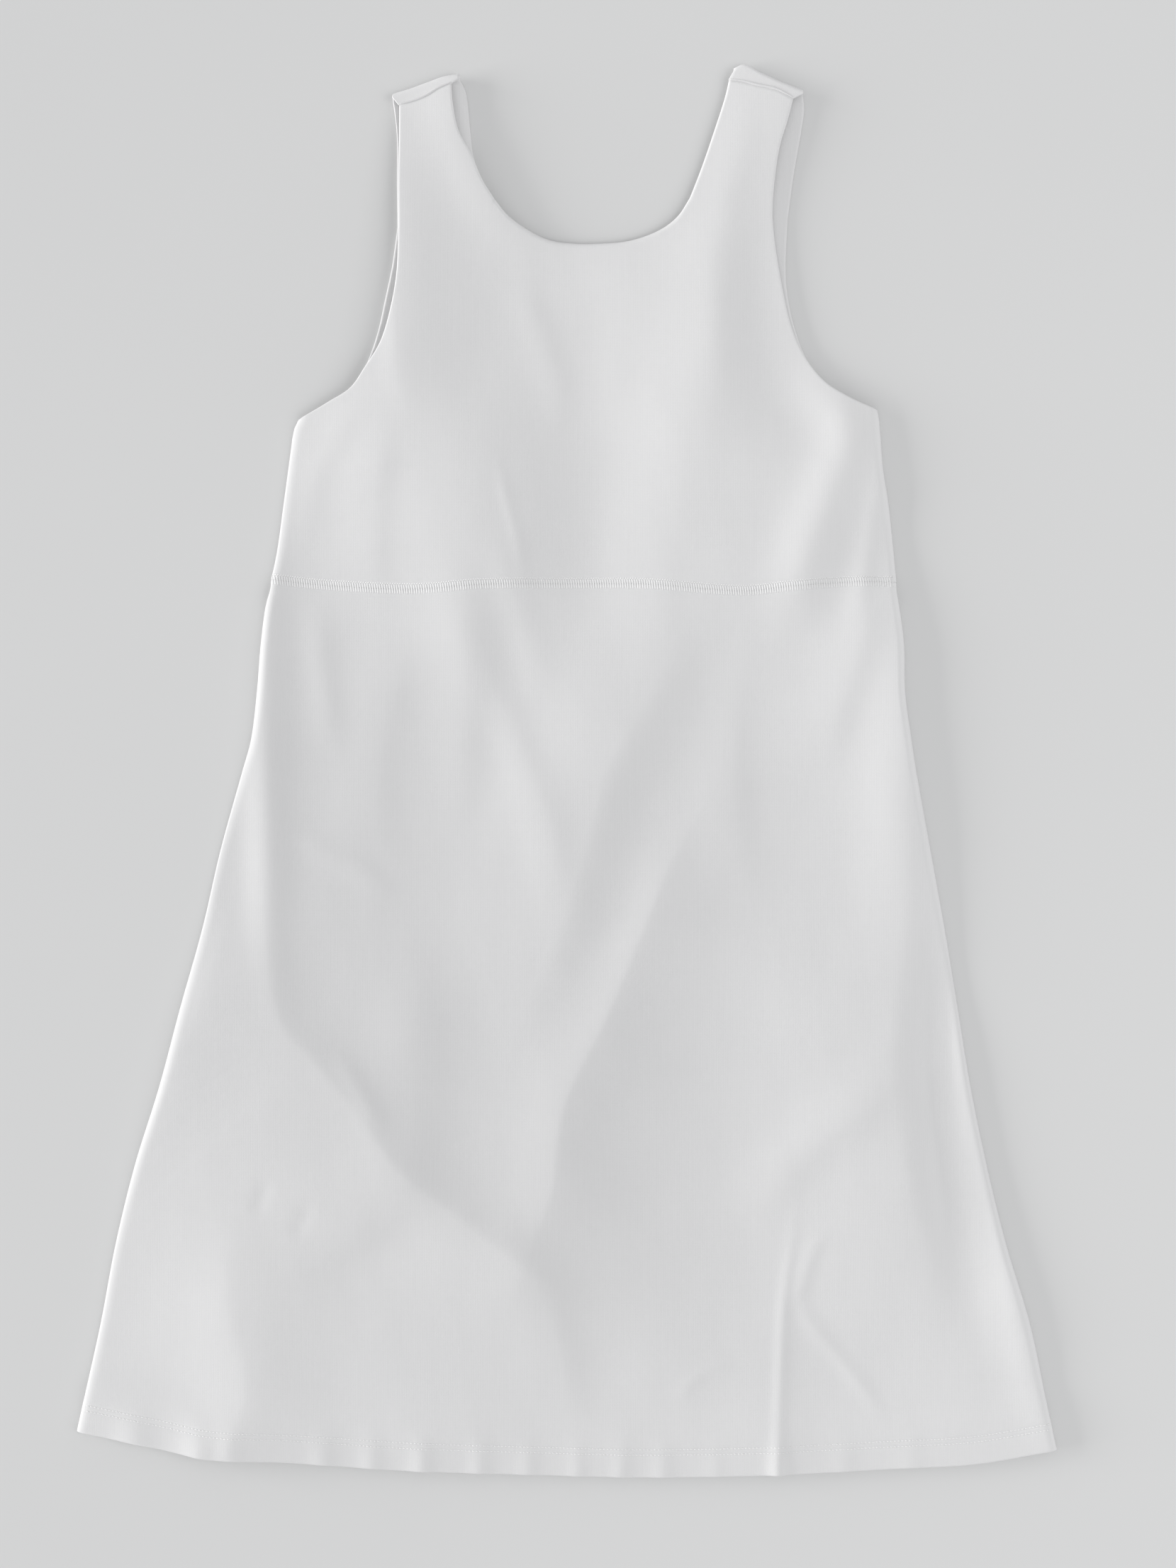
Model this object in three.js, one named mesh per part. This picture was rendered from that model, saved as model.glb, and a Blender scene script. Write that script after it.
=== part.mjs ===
// Athletic dress of plain white double knit, laid out flat on its back.
// Four pieces of cloth: front and back bodice with wide straps, and a flared front and back skirt.
// X runs across the dress, Y from the hem towards the shoulders, Z up from the surface that it lies on.
// All sizes are in millimetres.

import * as THREE from 'three';

// Cloth
const WALL = 1.2; // the knit with its soft surface
const SEAM_GAP = 0.3; // between two pieces that are sewn together or lie on each other
const HEM_DEPTH = 19; // cloth turned up at the foot of the skirt
const HEM_EXTRA = 1.0; // what the turned-up cloth adds to the wall
const HEM_STEP = 4; // length over which the wall thickens at the top of the hem

// How the front panel stands off the back panel
const EDGE_ROLL = 7; // width of the rounded bend along each side seam
const SIDE_SLOPE = 110; // the front's loft goes down over this width before the bends
const SLOPE_SHARE = 0.75; // and this much of it is lost there
const FOLD_END = 0.35; // share of a fold's length over which it dies away at each end
const FOLD_REACH = 3; // a fold is left out beyond this many of its own widths

// Mesh density. Bodice and skirt share their columns, so that they meet exactly at the waist seam.
// Edge shares are extra columns that carry the rounded bend along the side seams.
const FRONT_COLUMNS = { leftRoot: 9, neck: 18, rightRoot: 8, edges: [0.004, 0.016] };
const BACK_COLUMNS = { leftRoot: 4, neck: 8, rightRoot: 4, edges: [] };
const FRONT_SKIRT_ROWS = 29;
const BACK_SKIRT_ROWS = 13;
const SIDE_ROWS = 6;
const ARMHOLE_ROWS = 10;
const FRONT_STRAP_ROWS = 11;
const BACK_STRAP_ROWS = 8;
const BEND_STEPS = 6;
const PATH_STEPS = 6; // straight steps between two named points of a fold

// Shares of the width that the strap roots take of a bodice, and its height at the underarm
const ROOT_SHARE = { left: 0.26, right: 0.22 };
const UNDERARM_SHARE = 0.4;

// Side seams of the skirt: height along the dress, and where the left and right edges are there
const SKIRT_SIDES = [
  { y: -430, left: -312.4, right: 311 },
  { y: -400, left: -305.8, right: 304.6 },
  { y: -350, left: -294.8, right: 294 },
  { y: -300, left: -285.4, right: 279 },
  { y: -250, left: -273.2, right: 266.7 },
  { y: -200, left: -257.7, right: 256.4 },
  { y: -150, left: -244.4, right: 248.2 },
  { y: -100, left: -230.4, right: 240 },
  { y: -50, left: -218.8, right: 231 },
  { y: 0, left: -205, right: 222 },
  { y: 20, left: -199.5, right: 219 },
  { y: 50, left: -195.8, right: 215 },
  { y: 80, left: -193.4, right: 214.3 },
  { y: 105, left: -190.2, right: 211.2 },
  { y: 122, left: -186.4, right: 208.6 },
];

// Side seams of the bodice, from the waist seam to the underarm point
const BODICE_SIDES = {
  left: [[-186.8, 121.4], [-183.2, 138], [-179, 168], [-174.4, 202], [-172.2, 216.6], [-169.5, 222.7]],
  right: [[209.4, 119.6], [207.4, 141], [204.3, 170], [200.8, 193], [198.7, 220], [197.5, 228.8]],
};

// Waist seam and hem edge: height along the dress at each place across it
const WAIST_SEAM = [
  { x: -187, y: 121.4 },
  { x: -150, y: 117.5 },
  { x: -95, y: 115 },
  { x: -55, y: 117.8 },
  { x: 0, y: 118.5 },
  { x: 50, y: 118.2 },
  { x: 90, y: 115 },
  { x: 115, y: 114 },
  { x: 140, y: 116.6 },
  { x: 180, y: 119.6 },
  { x: 210, y: 119.6 },
];
const HEM_EDGE = [
  { x: -309, y: -418 },
  { x: -259, y: -428 },
  { x: -225, y: -434.5 },
  { x: -178, y: -437 },
  { x: -100, y: -442.5 },
  { x: 0, y: -446 },
  { x: 50, y: -447 },
  { x: 130, y: -445.6 },
  { x: 205, y: -441.8 },
  { x: 260, y: -438.6 },
  { x: 311, y: -430 },
];

// Cut edges of the two bodices. The strap roots are the lines where the straps leave the chest.
const FRONT_CUT = {
  leftArmhole: [[-169.5, 222.7], [-150, 233.8], [-136, 242.5], [-127, 255], [-117, 271], [-110, 294],
    [-106.5, 316], [-105.5, 345]],
  rightArmhole: [[197.5, 228.8], [178, 237.5], [163, 247.5], [150, 265], [142.5, 283], [136.5, 310],
    [132, 338], [130.8, 352]],
  neck: [[-45, 361.5], [-37.2, 352], [-24.4, 342.7], [-10.4, 336.3], [5, 334.2], [20.4, 334.1],
    [40.8, 336], [60, 343], [71, 351.5], [78.5, 363]],
  leftStrapOuter: [[-105.5, 345], [-105.8, 373], [-105.5, 399], [-105.5, 421.3]],
  leftStrapInner: [[-45, 361.5], [-52.5, 373.4], [-60.2, 391], [-67.8, 405], [-71.7, 424.5], [-72.3, 434.7]],
  rightStrapInner: [[78.5, 363], [85.5, 381], [93.1, 403], [100.8, 427], [103.2, 437.5]],
  rightStrapOuter: [[130.8, 352], [131.4, 366], [135.3, 395], [140.4, 412], [143.8, 425.5]],
};
const BACK_CUT = {
  leftArmhole: [[-169.5, 222.7], [-150, 233.8], [-136, 243], [-128, 254.5], [-120, 275], [-113.8, 302],
    [-110, 320], [-106.5, 345]],
  rightArmhole: [[197.5, 228.8], [178, 237.5], [163, 247.5], [153.1, 260], [146, 277], [141, 297],
    [139.1, 316], [140.3, 350]],
  neck: [[-46, 356], [-34, 342], [-20, 333], [0, 327.5], [18, 326.5], [40, 328.5], [60, 335], [74, 346],
    [84, 361]],
  leftStrapOuter: [[-106.5, 345], [-106.8, 373], [-107, 405], [-109.6, 427]],
  leftStrapInner: [[-46, 356], [-53, 374], [-59, 390], [-60.8, 404], [-64, 431], [-67.4, 438.6]],
  rightStrapInner: [[84, 361], [90, 381], [97, 403], [103.5, 427], [106.4, 443]],
  rightStrapOuter: [[140.3, 350], [144.2, 378.5], [149.3, 408], [150.8, 420], [150, 430]],
};

// Shoulders: the seam that joins front and back strap, and the bend of the back strap above it
const SHOULDERS = {
  left: {
    seam: [[-105.5, 421.3], [-96, 423.8], [-88.3, 427], [-80.6, 431.5], [-72.3, 434.7]],
    bend: [[-109.6, 429], [-98, 432.6], [-87, 436.6], [-77, 440], [-67.4, 441.4]],
  },
  right: {
    seam: [[103.2, 437.5], [112.3, 436], [121.2, 433.6], [132.7, 431], [143.8, 425.5]],
    bend: [[106.4, 445.4], [113, 448], [122, 443.4], [136, 437], [150, 431.5]],
  },
};

// How far the front panel floats above the back panel before any fold is counted
const LOFT = [
  { y: -450, height: 0.5 },
  { y: -400, height: 1.4 },
  { y: -330, height: 2.6 },
  { y: -250, height: 3 },
  { y: -100, height: 2.6 },
  { y: 50, height: 2.1 },
  { y: 200, height: 1.8 },
  { y: 340, height: 1.2 },
  { y: 450, height: 0.5 },
];

// Folds that lie in the front panel. Height is that of the crest, or of the trough where negative.
// West and east are the widths of its two flanks. A power under 2 makes the crest sharper.
// The path runs along the crest from top to bottom.
const FOLDS = [
  { name: 'left ridge', height: 3.6, west: 13, east: 13, power: 2,
    path: [[-190, 190], [-190, 90], [-190, 20], [-189, -40], [-187, -100], [-183, -150], [-172, -175]] },
  { name: 'left terrace', height: 4.8, west: 105, east: 18, power: 1.5,
    path: [[-192, -60], [-188, -120], [-180, -160], [-162, -181], [-140, -207], [-104, -254], [-80, -273],
      [-28, -312], [10, -338], [50, -366]] },
  { name: 'terrace foot', height: 1.8, west: 36, east: 16, power: 2,
    path: [[-56, -280], [-26, -316], [-11, -345], [-3, -380], [2, -430]] },
  { name: 'left hollow', height: -2.6, west: 70, east: 92, power: 2,
    path: [[-96, 130], [-92, 60], [-82, 0], [-68, -60], [-50, -120], [-36, -190], [-30, -260]] },
  { name: 'left flare', height: 1.6, west: 14, east: 26, power: 2,
    path: [[-203, -50], [-213, -100], [-228, -145], [-246, -190], [-266, -235], [-284, -290]] },
  { name: 'lower left ridge', height: 4.6, west: 34, east: 40, power: 1.6,
    path: [[-204, -268], [-213, -315], [-213, -340], [-204, -375], [-204, -405],
      [-226, -450], [-240, -500]] },
  { name: 'centre step', height: 2, west: 30, east: 22, power: 2,
    path: [[-94, -100], [-99, -160], [-99, -200], [-100, -250], [-104, -300]] },
  { name: 'left of centre ridge', height: 1.7, west: 20, east: 15, power: 2,
    path: [[-66, 150], [-66, 90], [-65, 40], [-66, 0], [-74, -50]] },
  { name: 'short sharp ridge', height: 1.2, west: 16, east: 12, power: 2,
    path: [[-62, 140], [-58, 95], [-50, 58], [-40, 38], [-29, 12], [-20, -10], [-11, -38], [-3, -75],
      [4, -118]] },
  { name: 'main diagonal ridge', height: 5.8, west: 66, east: 25, power: 2,
    path: [[96, 130], [70, 85], [54, 50], [24, 0], [13, -38], [2, -78], [-18, -130], [-34, -165],
      [-50, -200]] },
  { name: 'second diagonal ridge', height: 5.2, west: 32, east: 32, power: 1.4,
    path: [[108, 20], [88, -20], [68, -55], [50, -98], [26, -155], [1, -206], [-5, -235], [-8, -262],
      [-27, -314], [-44, -360]] },
  { name: 'broad hollow', height: -3.6, west: 80, east: 110, power: 2,
    path: [[104, -90], [116, -180], [120, -240], [114, -300], [96, -390]] },
  { name: 'right ridge', height: 4.4, west: 27, east: 21, power: 2,
    path: [[212, 170], [212, 100], [213, 20], [214, -60], [213, -110], [206, -160]] },
  { name: 'lower right ridge', height: 5.2, west: 90, east: 26, power: 2,
    path: [[213, -60], [209, -120], [203, -180], [209, -230], [216, -270], [226, -310], [238, -365]] },
  { name: 'right trough', height: -2, west: 14, east: 8, power: 2,
    path: [[240, -60], [240, -130], [238, -190], [242, -250], [250, -300], [259, -345], [270, -390]] },
  { name: 'right edge ridge', height: 2.6, west: 12, east: 14, power: 2,
    path: [[238, -40], [248, -120], [254, -180], [268, -250], [284, -330], [314, -470]] },
  { name: 'soft diagonal', height: 2, west: 20, east: 16, power: 2,
    path: [[222, -176], [200, -200], [178, -218], [150, -240], [132, -262], [116, -300]] },
  { name: 'left crest', height: 6.2, west: 62, east: 54, power: 2,
    path: [[-100, 475], [-107, 380], [-107, 300], [-104, 250], [-92, 222], [-75, 203], [-63, 176],
      [-58, 140], [-56, 95], [-58, 0]] },
  { name: 'left neck ridge', height: 2.8, west: 20, east: 13, power: 2,
    path: [[-76, 500], [-73, 440], [-68, 410], [-60, 388], [-48, 364], [-34, 347], [-14, 334],
      [10, 324]] },
  { name: 'centre hollow of the bodice', height: -1.8, west: 28, east: 22, power: 2,
    path: [[12, 360], [9, 290], [8, 240], [14, 190], [14, 140], [10, 80]] },
  { name: 'right neck ridge', height: 3.6, west: 36, east: 26, power: 2,
    path: [[152, 500], [136, 430], [124, 385], [110, 348], [98, 315], [92, 250], [88, 215], [82, 175]] },
  { name: 'centre band', height: 4, west: 38, east: 105, power: 2,
    path: [[90, 290], [82, 230], [76, 180], [70, 130], [68, 80], [66, 30]] },
  { name: 'right armhole hollow', height: -2.2, west: 18, east: 20, power: 2,
    path: [[140, 450], [128, 390], [122, 350], [120, 310], [124, 270], [136, 240], [156, 215],
      [172, 190]] },
  { name: 'right bust ridge', height: 4.2, west: 18, east: 18, power: 2,
    path: [[148, 275], [162, 243], [175, 224], [177, 205], [168, 177], [155, 142], [148, 118],
      [140, 70]] },
];

const clamp01 = (value) => Math.min(1, Math.max(0, value));
const smooth = (value) => clamp01(value) ** 2 * (3 - 2 * clamp01(value));

// Value of a table's column at a place between its rows, on a cubic with the slopes of the neighbouring rows
function lookUp(table, key, column, place) {
  const rising = [...table].sort((a, b) => a[key] - b[key]);
  const last = rising.length - 1;
  const at = THREE.MathUtils.clamp(place, rising[0][key], rising[last][key]);
  let k = 0;
  while (k < last - 1 && rising[k + 1][key] < at) {
    k += 1;
  }
  const slope = (i) => {
    const low = rising[Math.max(i - 1, 0)];
    const high = rising[Math.min(i + 1, last)];
    return (high[column] - low[column]) / (high[key] - low[key]);
  };
  const span = rising[k + 1][key] - rising[k][key];
  const t = (at - rising[k][key]) / span;
  const start = rising[k][column] * (1 + 2 * t) * (1 - t) ** 2;
  const end = rising[k + 1][column] * t ** 2 * (3 - 2 * t);
  return start + end + span * (slope(k) * t * (1 - t) ** 2 - slope(k + 1) * t ** 2 * (1 - t));
}

const waistAt = (x) => lookUp(WAIST_SEAM, 'x', 'y', x);
const hemAt = (x) => lookUp(HEM_EDGE, 'x', 'y', x);
const loftAt = (y) => lookUp(LOFT, 'y', 'height', y);

// Smooth curve through named points
function curveThrough(points) {
  return new THREE.CatmullRomCurve3(points.map(([x, y]) => new THREE.Vector3(x, y, 0)), false, 'centripetal');
}

// Points at the given shares of a curve's length
function pointsAlong(curve, shares) {
  return shares.map((share) => curve.getPointAt(clamp01(share)));
}

const evenShares = (steps) => Array.from({ length: steps + 1 }, (_, i) => i / steps);

// Each fold's crest line as short straight steps, with the length run so far
const foldLines = FOLDS.map((fold) => {
  const points = curveThrough(fold.path).getPoints(PATH_STEPS * (fold.path.length - 1));
  const run = [0];
  for (let k = 1; k < points.length; k += 1) {
    run.push(run[k - 1] + points[k].distanceTo(points[k - 1]));
  }
  return { ...fold, points, run };
});

// Height that one fold adds at a place: a bell across the crest line, dying away towards both ends
function foldHeight(fold, x, y) {
  let nearest = Infinity;
  let share = 0;
  let onEast = false;
  for (let k = 0; k < fold.points.length - 1; k += 1) {
    const from = fold.points[k];
    const step = fold.points[k + 1].clone().sub(from);
    const dx = x - from.x;
    const dy = y - from.y;
    const t = clamp01((dx * step.x + dy * step.y) / step.lengthSq());
    const away = Math.hypot(dx - t * step.x, dy - t * step.y);
    if (away < nearest) {
      nearest = away;
      share = (fold.run[k] + t * step.length()) / fold.run[fold.run.length - 1];
      onEast = step.x * dy - step.y * dx > 0;
    }
  }
  const width = onEast ? fold.east : fold.west;
  if (nearest > FOLD_REACH * width) return 0;
  const fade = smooth(Math.min(share, 1 - share) / FOLD_END);
  return fold.height * fade * Math.exp(-((nearest / width) ** fold.power));
}

const reliefAt = (x, y) => foldLines.reduce((sum, fold) => sum + foldHeight(fold, x, y), 0);

// Thickness of the skirt's wall, with the cloth turned up at the foot
function skirtWall(x, y) {
  return WALL + HEM_EXTRA * smooth((HEM_DEPTH + HEM_STEP - (y - hemAt(x))) / HEM_STEP);
}

// Share of its height that the panel keeps at a distance from the side seam: a quarter round
const rollAt = (distance) => Math.sqrt(1 - (1 - clamp01(distance / EDGE_ROLL)) ** 2);

// Height of the front panel's outer face. Its loft goes down towards the side seams in a long slope.
function frontHeight(x, y, distance, wall) {
  const slope = 1 - SLOPE_SHARE * (1 - smooth(distance / SIDE_SLOPE));
  const stand = Math.max(0, slope * loftAt(y) + reliefAt(x, y));
  return 2 * wall + SEAM_GAP + rollAt(distance) * stand;
}

// A grid of places between four edges, each edge followed exactly
function patch(bottom, top, left, right, across, along) {
  return along.map((v, row) => across.map((u, column) => {
    const sides = left[row].clone().multiplyScalar(1 - u).addScaledVector(right[row], u);
    const ends = bottom[column].clone().multiplyScalar(1 - v).addScaledVector(top[column], v);
    const lower = left[0].clone().multiplyScalar(1 - u).addScaledVector(right[0], u);
    const upper = left[left.length - 1].clone().multiplyScalar(1 - u);
    upper.addScaledVector(right[right.length - 1], u);
    return sides.add(ends).sub(lower.multiplyScalar(1 - v)).sub(upper.multiplyScalar(v));
  }));
}

// Outer face of a piece of cloth: joined grids of points. Grids that meet hold the same point objects there.
class Face {
  constructor() {
    this.points = [];
    this.quads = [];
    this.places = new Map();
  }

  point(p) {
    if (!this.places.has(p)) {
      this.places.set(p, this.points.length);
      this.points.push(p);
    }
    return this.places.get(p);
  }

  // Rows run up the dress and columns across it. Seen from above, the grid's upper side is the outer one.
  addGrid(rows, upwards) {
    const index = rows.map((row) => row.map((p) => this.point(p)));
    for (let r = 0; r < rows.length - 1; r += 1) {
      for (let c = 0; c < rows[r].length - 1; c += 1) {
        const quad = [index[r][c], index[r][c + 1], index[r + 1][c + 1], index[r + 1][c]];
        this.quads.push(upwards ? quad : quad.reverse());
      }
    }
  }

  triangles() {
    return this.quads.flatMap(([a, b, c, d]) => [[a, b, c], [a, c, d]]);
  }

  normals() {
    const sums = this.points.map(() => new THREE.Vector3());
    for (const [a, b, c] of this.triangles()) {
      const [pa, pb, pc] = [this.points[a], this.points[b], this.points[c]];
      const normal = pb.clone().sub(pa).cross(pc.clone().sub(pa));
      for (const i of [a, b, c]) {
        sums[i].add(normal);
      }
    }
    return sums.map((sum) => sum.normalize());
  }
}

// Closed wall of cloth: the outer face, an inner face one thickness behind it, and a rim round the edges.
// The inner face never goes under the given floor.
function wallGeometry(face, wallAt, floorAt) {
  const outer = face.points;
  const inner = face.normals().map((normal, i) => {
    const p = outer[i].clone().addScaledVector(normal, -wallAt(outer[i]));
    p.z = Math.max(p.z, floorAt(outer[i]));
    return p;
  });
  const triangles = face.triangles();
  const count = outer.length;
  const behind = triangles.map(([a, b, c]) => [c + count, b + count, a + count]);
  const directed = new Set(triangles.flatMap(([a, b, c]) => [`${a}_${b}`, `${b}_${c}`, `${c}_${a}`]));
  const rim = [];
  for (const edge of directed) {
    const [a, b] = edge.split('_').map(Number);
    if (!directed.has(`${b}_${a}`)) {
      rim.push([b, a, a + count], [b, a + count, b + count]);
    }
  }
  const geometry = new THREE.BufferGeometry();
  const flat = [...outer, ...inner].flatMap((p) => [p.x, p.y, p.z]);
  geometry.setAttribute('position', new THREE.Float32BufferAttribute(flat, 3));
  geometry.setIndex([...triangles, ...behind, ...rim].flat());
  geometry.computeVertexNormals();
  return geometry;
}

// Columns of a panel as shares of its width, with the first and last column of the neck
function columnsOf({ leftRoot, neck, rightRoot, edges }) {
  const neckSpan = 1 - ROOT_SHARE.left - ROOT_SHARE.right;
  const shares = [
    ...evenShares(leftRoot).map((t) => t * ROOT_SHARE.left),
    ...evenShares(neck).slice(1).map((t) => ROOT_SHARE.left + t * neckSpan),
    ...evenShares(rightRoot).slice(1).map((t) => 1 - ROOT_SHARE.right * (1 - t)),
  ];
  const inner = shares.slice(1, -1);
  const across = [0, ...edges, ...inner, ...edges.map((share) => 1 - share).reverse(), 1];
  const neckStart = edges.length + leftRoot;
  return { across, neckStart, neckEnd: neckStart + neck };
}

// Places across the waist seam, half the seam gap above or below its centre
function waistPlaces(across, offset) {
  const ends = [BODICE_SIDES.left[0][0], BODICE_SIDES.right[0][0]];
  return across.map((u) => {
    const x = THREE.MathUtils.lerp(...ends, u);
    return new THREE.Vector3(x, waistAt(x) + offset, 0);
  });
}

// Places of one skirt panel, from hem to waist seam, with each one's distance from the nearer side seam
function skirtPlaces(columns, rowCount) {
  const { across } = columnsOf(columns);
  const waist = waistPlaces(across, -SEAM_GAP / 2);
  const foot = [HEM_EDGE[0], HEM_EDGE[HEM_EDGE.length - 1]];
  const length = waist[0].y - foot[0].y;
  const aboveHem = (HEM_DEPTH + HEM_STEP) / length;
  const above = evenShares(rowCount).map((share) => aboveHem + share * (1 - aboveHem));
  return [0, HEM_DEPTH / length, ...above].map((v) => {
    const leftY = THREE.MathUtils.lerp(foot[0].y, waist[0].y, v);
    const rightY = THREE.MathUtils.lerp(foot[1].y, waist[waist.length - 1].y, v);
    const leftX = v < 1 ? lookUp(SKIRT_SIDES, 'y', 'left', leftY) : waist[0].x;
    const rightX = v < 1 ? lookUp(SKIRT_SIDES, 'y', 'right', rightY) : waist[waist.length - 1].x;
    return across.map((u, column) => {
      const x = THREE.MathUtils.lerp(leftX, rightX, u);
      const hemY = hemAt(THREE.MathUtils.lerp(foot[0].x, foot[1].x, u));
      const y = THREE.MathUtils.lerp(hemY, waist[column].y, v);
      return { point: new THREE.Vector3(x, y, 0), side: Math.min(x - leftX, rightX - x) };
    });
  });
}

function frontSkirt() {
  const face = new Face();
  const rows = skirtPlaces(FRONT_COLUMNS, FRONT_SKIRT_ROWS).map((row) => row.map(({ point, side }) => {
    const z = frontHeight(point.x, point.y, side, skirtWall(point.x, point.y));
    return point.setZ(z);
  }));
  face.addGrid(rows, true);
  const wallAt = (p) => skirtWall(p.x, p.y);
  return wallGeometry(face, wallAt, (p) => wallAt(p) + SEAM_GAP);
}

function backSkirt() {
  const face = new Face();
  const rows = skirtPlaces(BACK_COLUMNS, BACK_SKIRT_ROWS);
  face.addGrid(rows.map((row) => row.map(({ point }) => point)), false);
  return wallGeometry(face, (p) => skirtWall(p.x, p.y), () => 0);
}

// Distance from a place to the nearer side seam of the bodice
const sideSeams = Object.values(BODICE_SIDES).map((points) => (
  curveThrough(points).getPoints(PATH_STEPS * (points.length - 1))
));
function seamDistance(x, y) {
  let nearest = Infinity;
  for (const line of sideSeams) {
    for (let k = 0; k < line.length - 1; k += 1) {
      const start = new THREE.Vector3(line[k].x, line[k].y, 0);
      const step = new THREE.Line3(start, line[k + 1]);
      const on = step.closestPointToPoint(new THREE.Vector3(x, y, 0), true, new THREE.Vector3());
      nearest = Math.min(nearest, Math.hypot(on.x - x, on.y - y));
    }
  }
  return nearest;
}

// Places of a bodice: the chest up to the neck, and a strap on each side of it
function bodicePlaces(cut, columns, strapRows, strapTops) {
  const { across, neckStart, neckEnd } = columnsOf(columns);
  const bottom = waistPlaces(across, SEAM_GAP / 2);
  const sideShares = evenShares(SIDE_ROWS);
  const armholeShares = evenShares(ARMHOLE_ROWS).slice(1);
  const along = [
    ...sideShares.map((t) => t * UNDERARM_SHARE),
    ...armholeShares.map((t) => UNDERARM_SHARE + t * (1 - UNDERARM_SHARE)),
  ];
  const edge = (side, armhole, corner) => {
    const seam = pointsAlong(curveThrough([[corner.x, corner.y], ...side.slice(1)]), sideShares);
    return [...seam, ...pointsAlong(curveThrough(armhole), armholeShares)];
  };
  const left = edge(BODICE_SIDES.left, cut.leftArmhole, bottom[0]);
  const right = edge(BODICE_SIDES.right, cut.rightArmhole, bottom[bottom.length - 1]);

  const neckCurve = curveThrough(cut.neck);
  const outerLeft = left[left.length - 1];
  const outerRight = right[right.length - 1];
  const top = across.map((u, column) => {
    if (column <= neckStart) {
      return outerLeft.clone().lerp(neckCurve.getPointAt(0), u / across[neckStart]);
    }
    if (column >= neckEnd) {
      return neckCurve.getPointAt(1).lerp(outerRight, (u - across[neckEnd]) / (1 - across[neckEnd]));
    }
    return neckCurve.getPointAt((u - across[neckStart]) / (across[neckEnd] - across[neckStart]));
  });
  const chest = patch(bottom, top, left, right, across, along);

  const strap = (first, last, leftEdge, rightEdge, strapTop) => {
    const root = chest[chest.length - 1].slice(first, last + 1);
    const width = across[last] - across[first];
    const steps = across.slice(first, last + 1).map((u) => (u - across[first]) / width);
    const shares = evenShares(strapRows);
    const edges = [leftEdge, rightEdge].map((points) => pointsAlong(curveThrough(points), shares));
    const rows = patch(root, pointsAlong(curveThrough(strapTop), steps), ...edges, steps, shares);
    return [root, ...rows.slice(1)];
  };
  const lastColumn = across.length - 1;
  return {
    chest,
    left: strap(0, neckStart, cut.leftStrapOuter, cut.leftStrapInner, strapTops.left),
    right: strap(neckEnd, lastColumn, cut.rightStrapInner, cut.rightStrapOuter, strapTops.right),
  };
}

// A bodice's cut edges with its strap edges run up to the given strap tops
function cutUpTo(cut, tops) {
  const endAt = (points, top) => [...points.slice(0, -1), top];
  return {
    ...cut,
    leftStrapOuter: endAt(cut.leftStrapOuter, tops.left[0]),
    leftStrapInner: endAt(cut.leftStrapInner, tops.left[tops.left.length - 1]),
    rightStrapInner: endAt(cut.rightStrapInner, tops.right[0]),
    rightStrapOuter: endAt(cut.rightStrapOuter, tops.right[tops.right.length - 1]),
  };
}

const bodiceHeight = (x, y) => frontHeight(x, y, seamDistance(x, y), WALL);

function frontBodice() {
  const lowered = (points) => points.map(([x, y]) => [x, y - SEAM_GAP / 2]);
  const tops = { left: lowered(SHOULDERS.left.seam), right: lowered(SHOULDERS.right.seam) };
  const places = bodicePlaces(cutUpTo(FRONT_CUT, tops), FRONT_COLUMNS, FRONT_STRAP_ROWS, tops);
  const face = new Face();
  for (const rows of [places.chest, places.left, places.right]) {
    face.addGrid(rows.map((row) => row.map((p) => p.setZ(bodiceHeight(p.x, p.y)))), true);
  }
  return wallGeometry(face, () => WALL, () => WALL + SEAM_GAP);
}

// Back strap above its flat part: round the bend and forward to the shoulder seam.
// Each column bends as high as the front strap that it meets.
function shoulderRows(lastFlatRow, seamPoints) {
  const bendRadius = seamPoints.map((p) => bodiceHeight(p.x, p.y) / 2);
  const rows = [];
  for (let step = 1; step <= BEND_STEPS; step += 1) {
    const angle = (Math.PI * step) / BEND_STEPS - Math.PI / 2;
    rows.push(lastFlatRow.map((p, c) => new THREE.Vector3(
      p.x,
      p.y + bendRadius[c] * Math.cos(angle),
      bendRadius[c] * (1 + Math.sin(angle)),
    )));
  }
  rows.push(seamPoints.map((p, c) => new THREE.Vector3(p.x, p.y + SEAM_GAP / 2, 2 * bendRadius[c])));
  return rows;
}

function backBodice() {
  const below = (shoulder) => {
    const seam = curveThrough(shoulder.seam);
    return shoulder.bend.map(([x, y], i) => {
      const p = seam.getPointAt(i / (shoulder.bend.length - 1));
      return [x, y - bodiceHeight(p.x, p.y) / 2];
    });
  };
  const tops = { left: below(SHOULDERS.left), right: below(SHOULDERS.right) };
  const places = bodicePlaces(cutUpTo(BACK_CUT, tops), BACK_COLUMNS, BACK_STRAP_ROWS, tops);
  const face = new Face();
  face.addGrid(places.chest, false);
  for (const name of ['left', 'right']) {
    const rows = places[name];
    const flatEnd = rows[rows.length - 1];
    const seam = pointsAlong(curveThrough(SHOULDERS[name].seam), evenShares(flatEnd.length - 1));
    face.addGrid([...rows, ...shoulderRows(flatEnd, seam)], false);
  }
  return wallGeometry(face, () => WALL, () => 0);
}

function piece(name, geometry, color) {
  const cloth = new THREE.MeshStandardMaterial({ color, roughness: 0.82, metalness: 0, flatShading: true });
  const mesh = new THREE.Mesh(geometry, cloth);
  mesh.name = name;
  return mesh;
}

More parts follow.
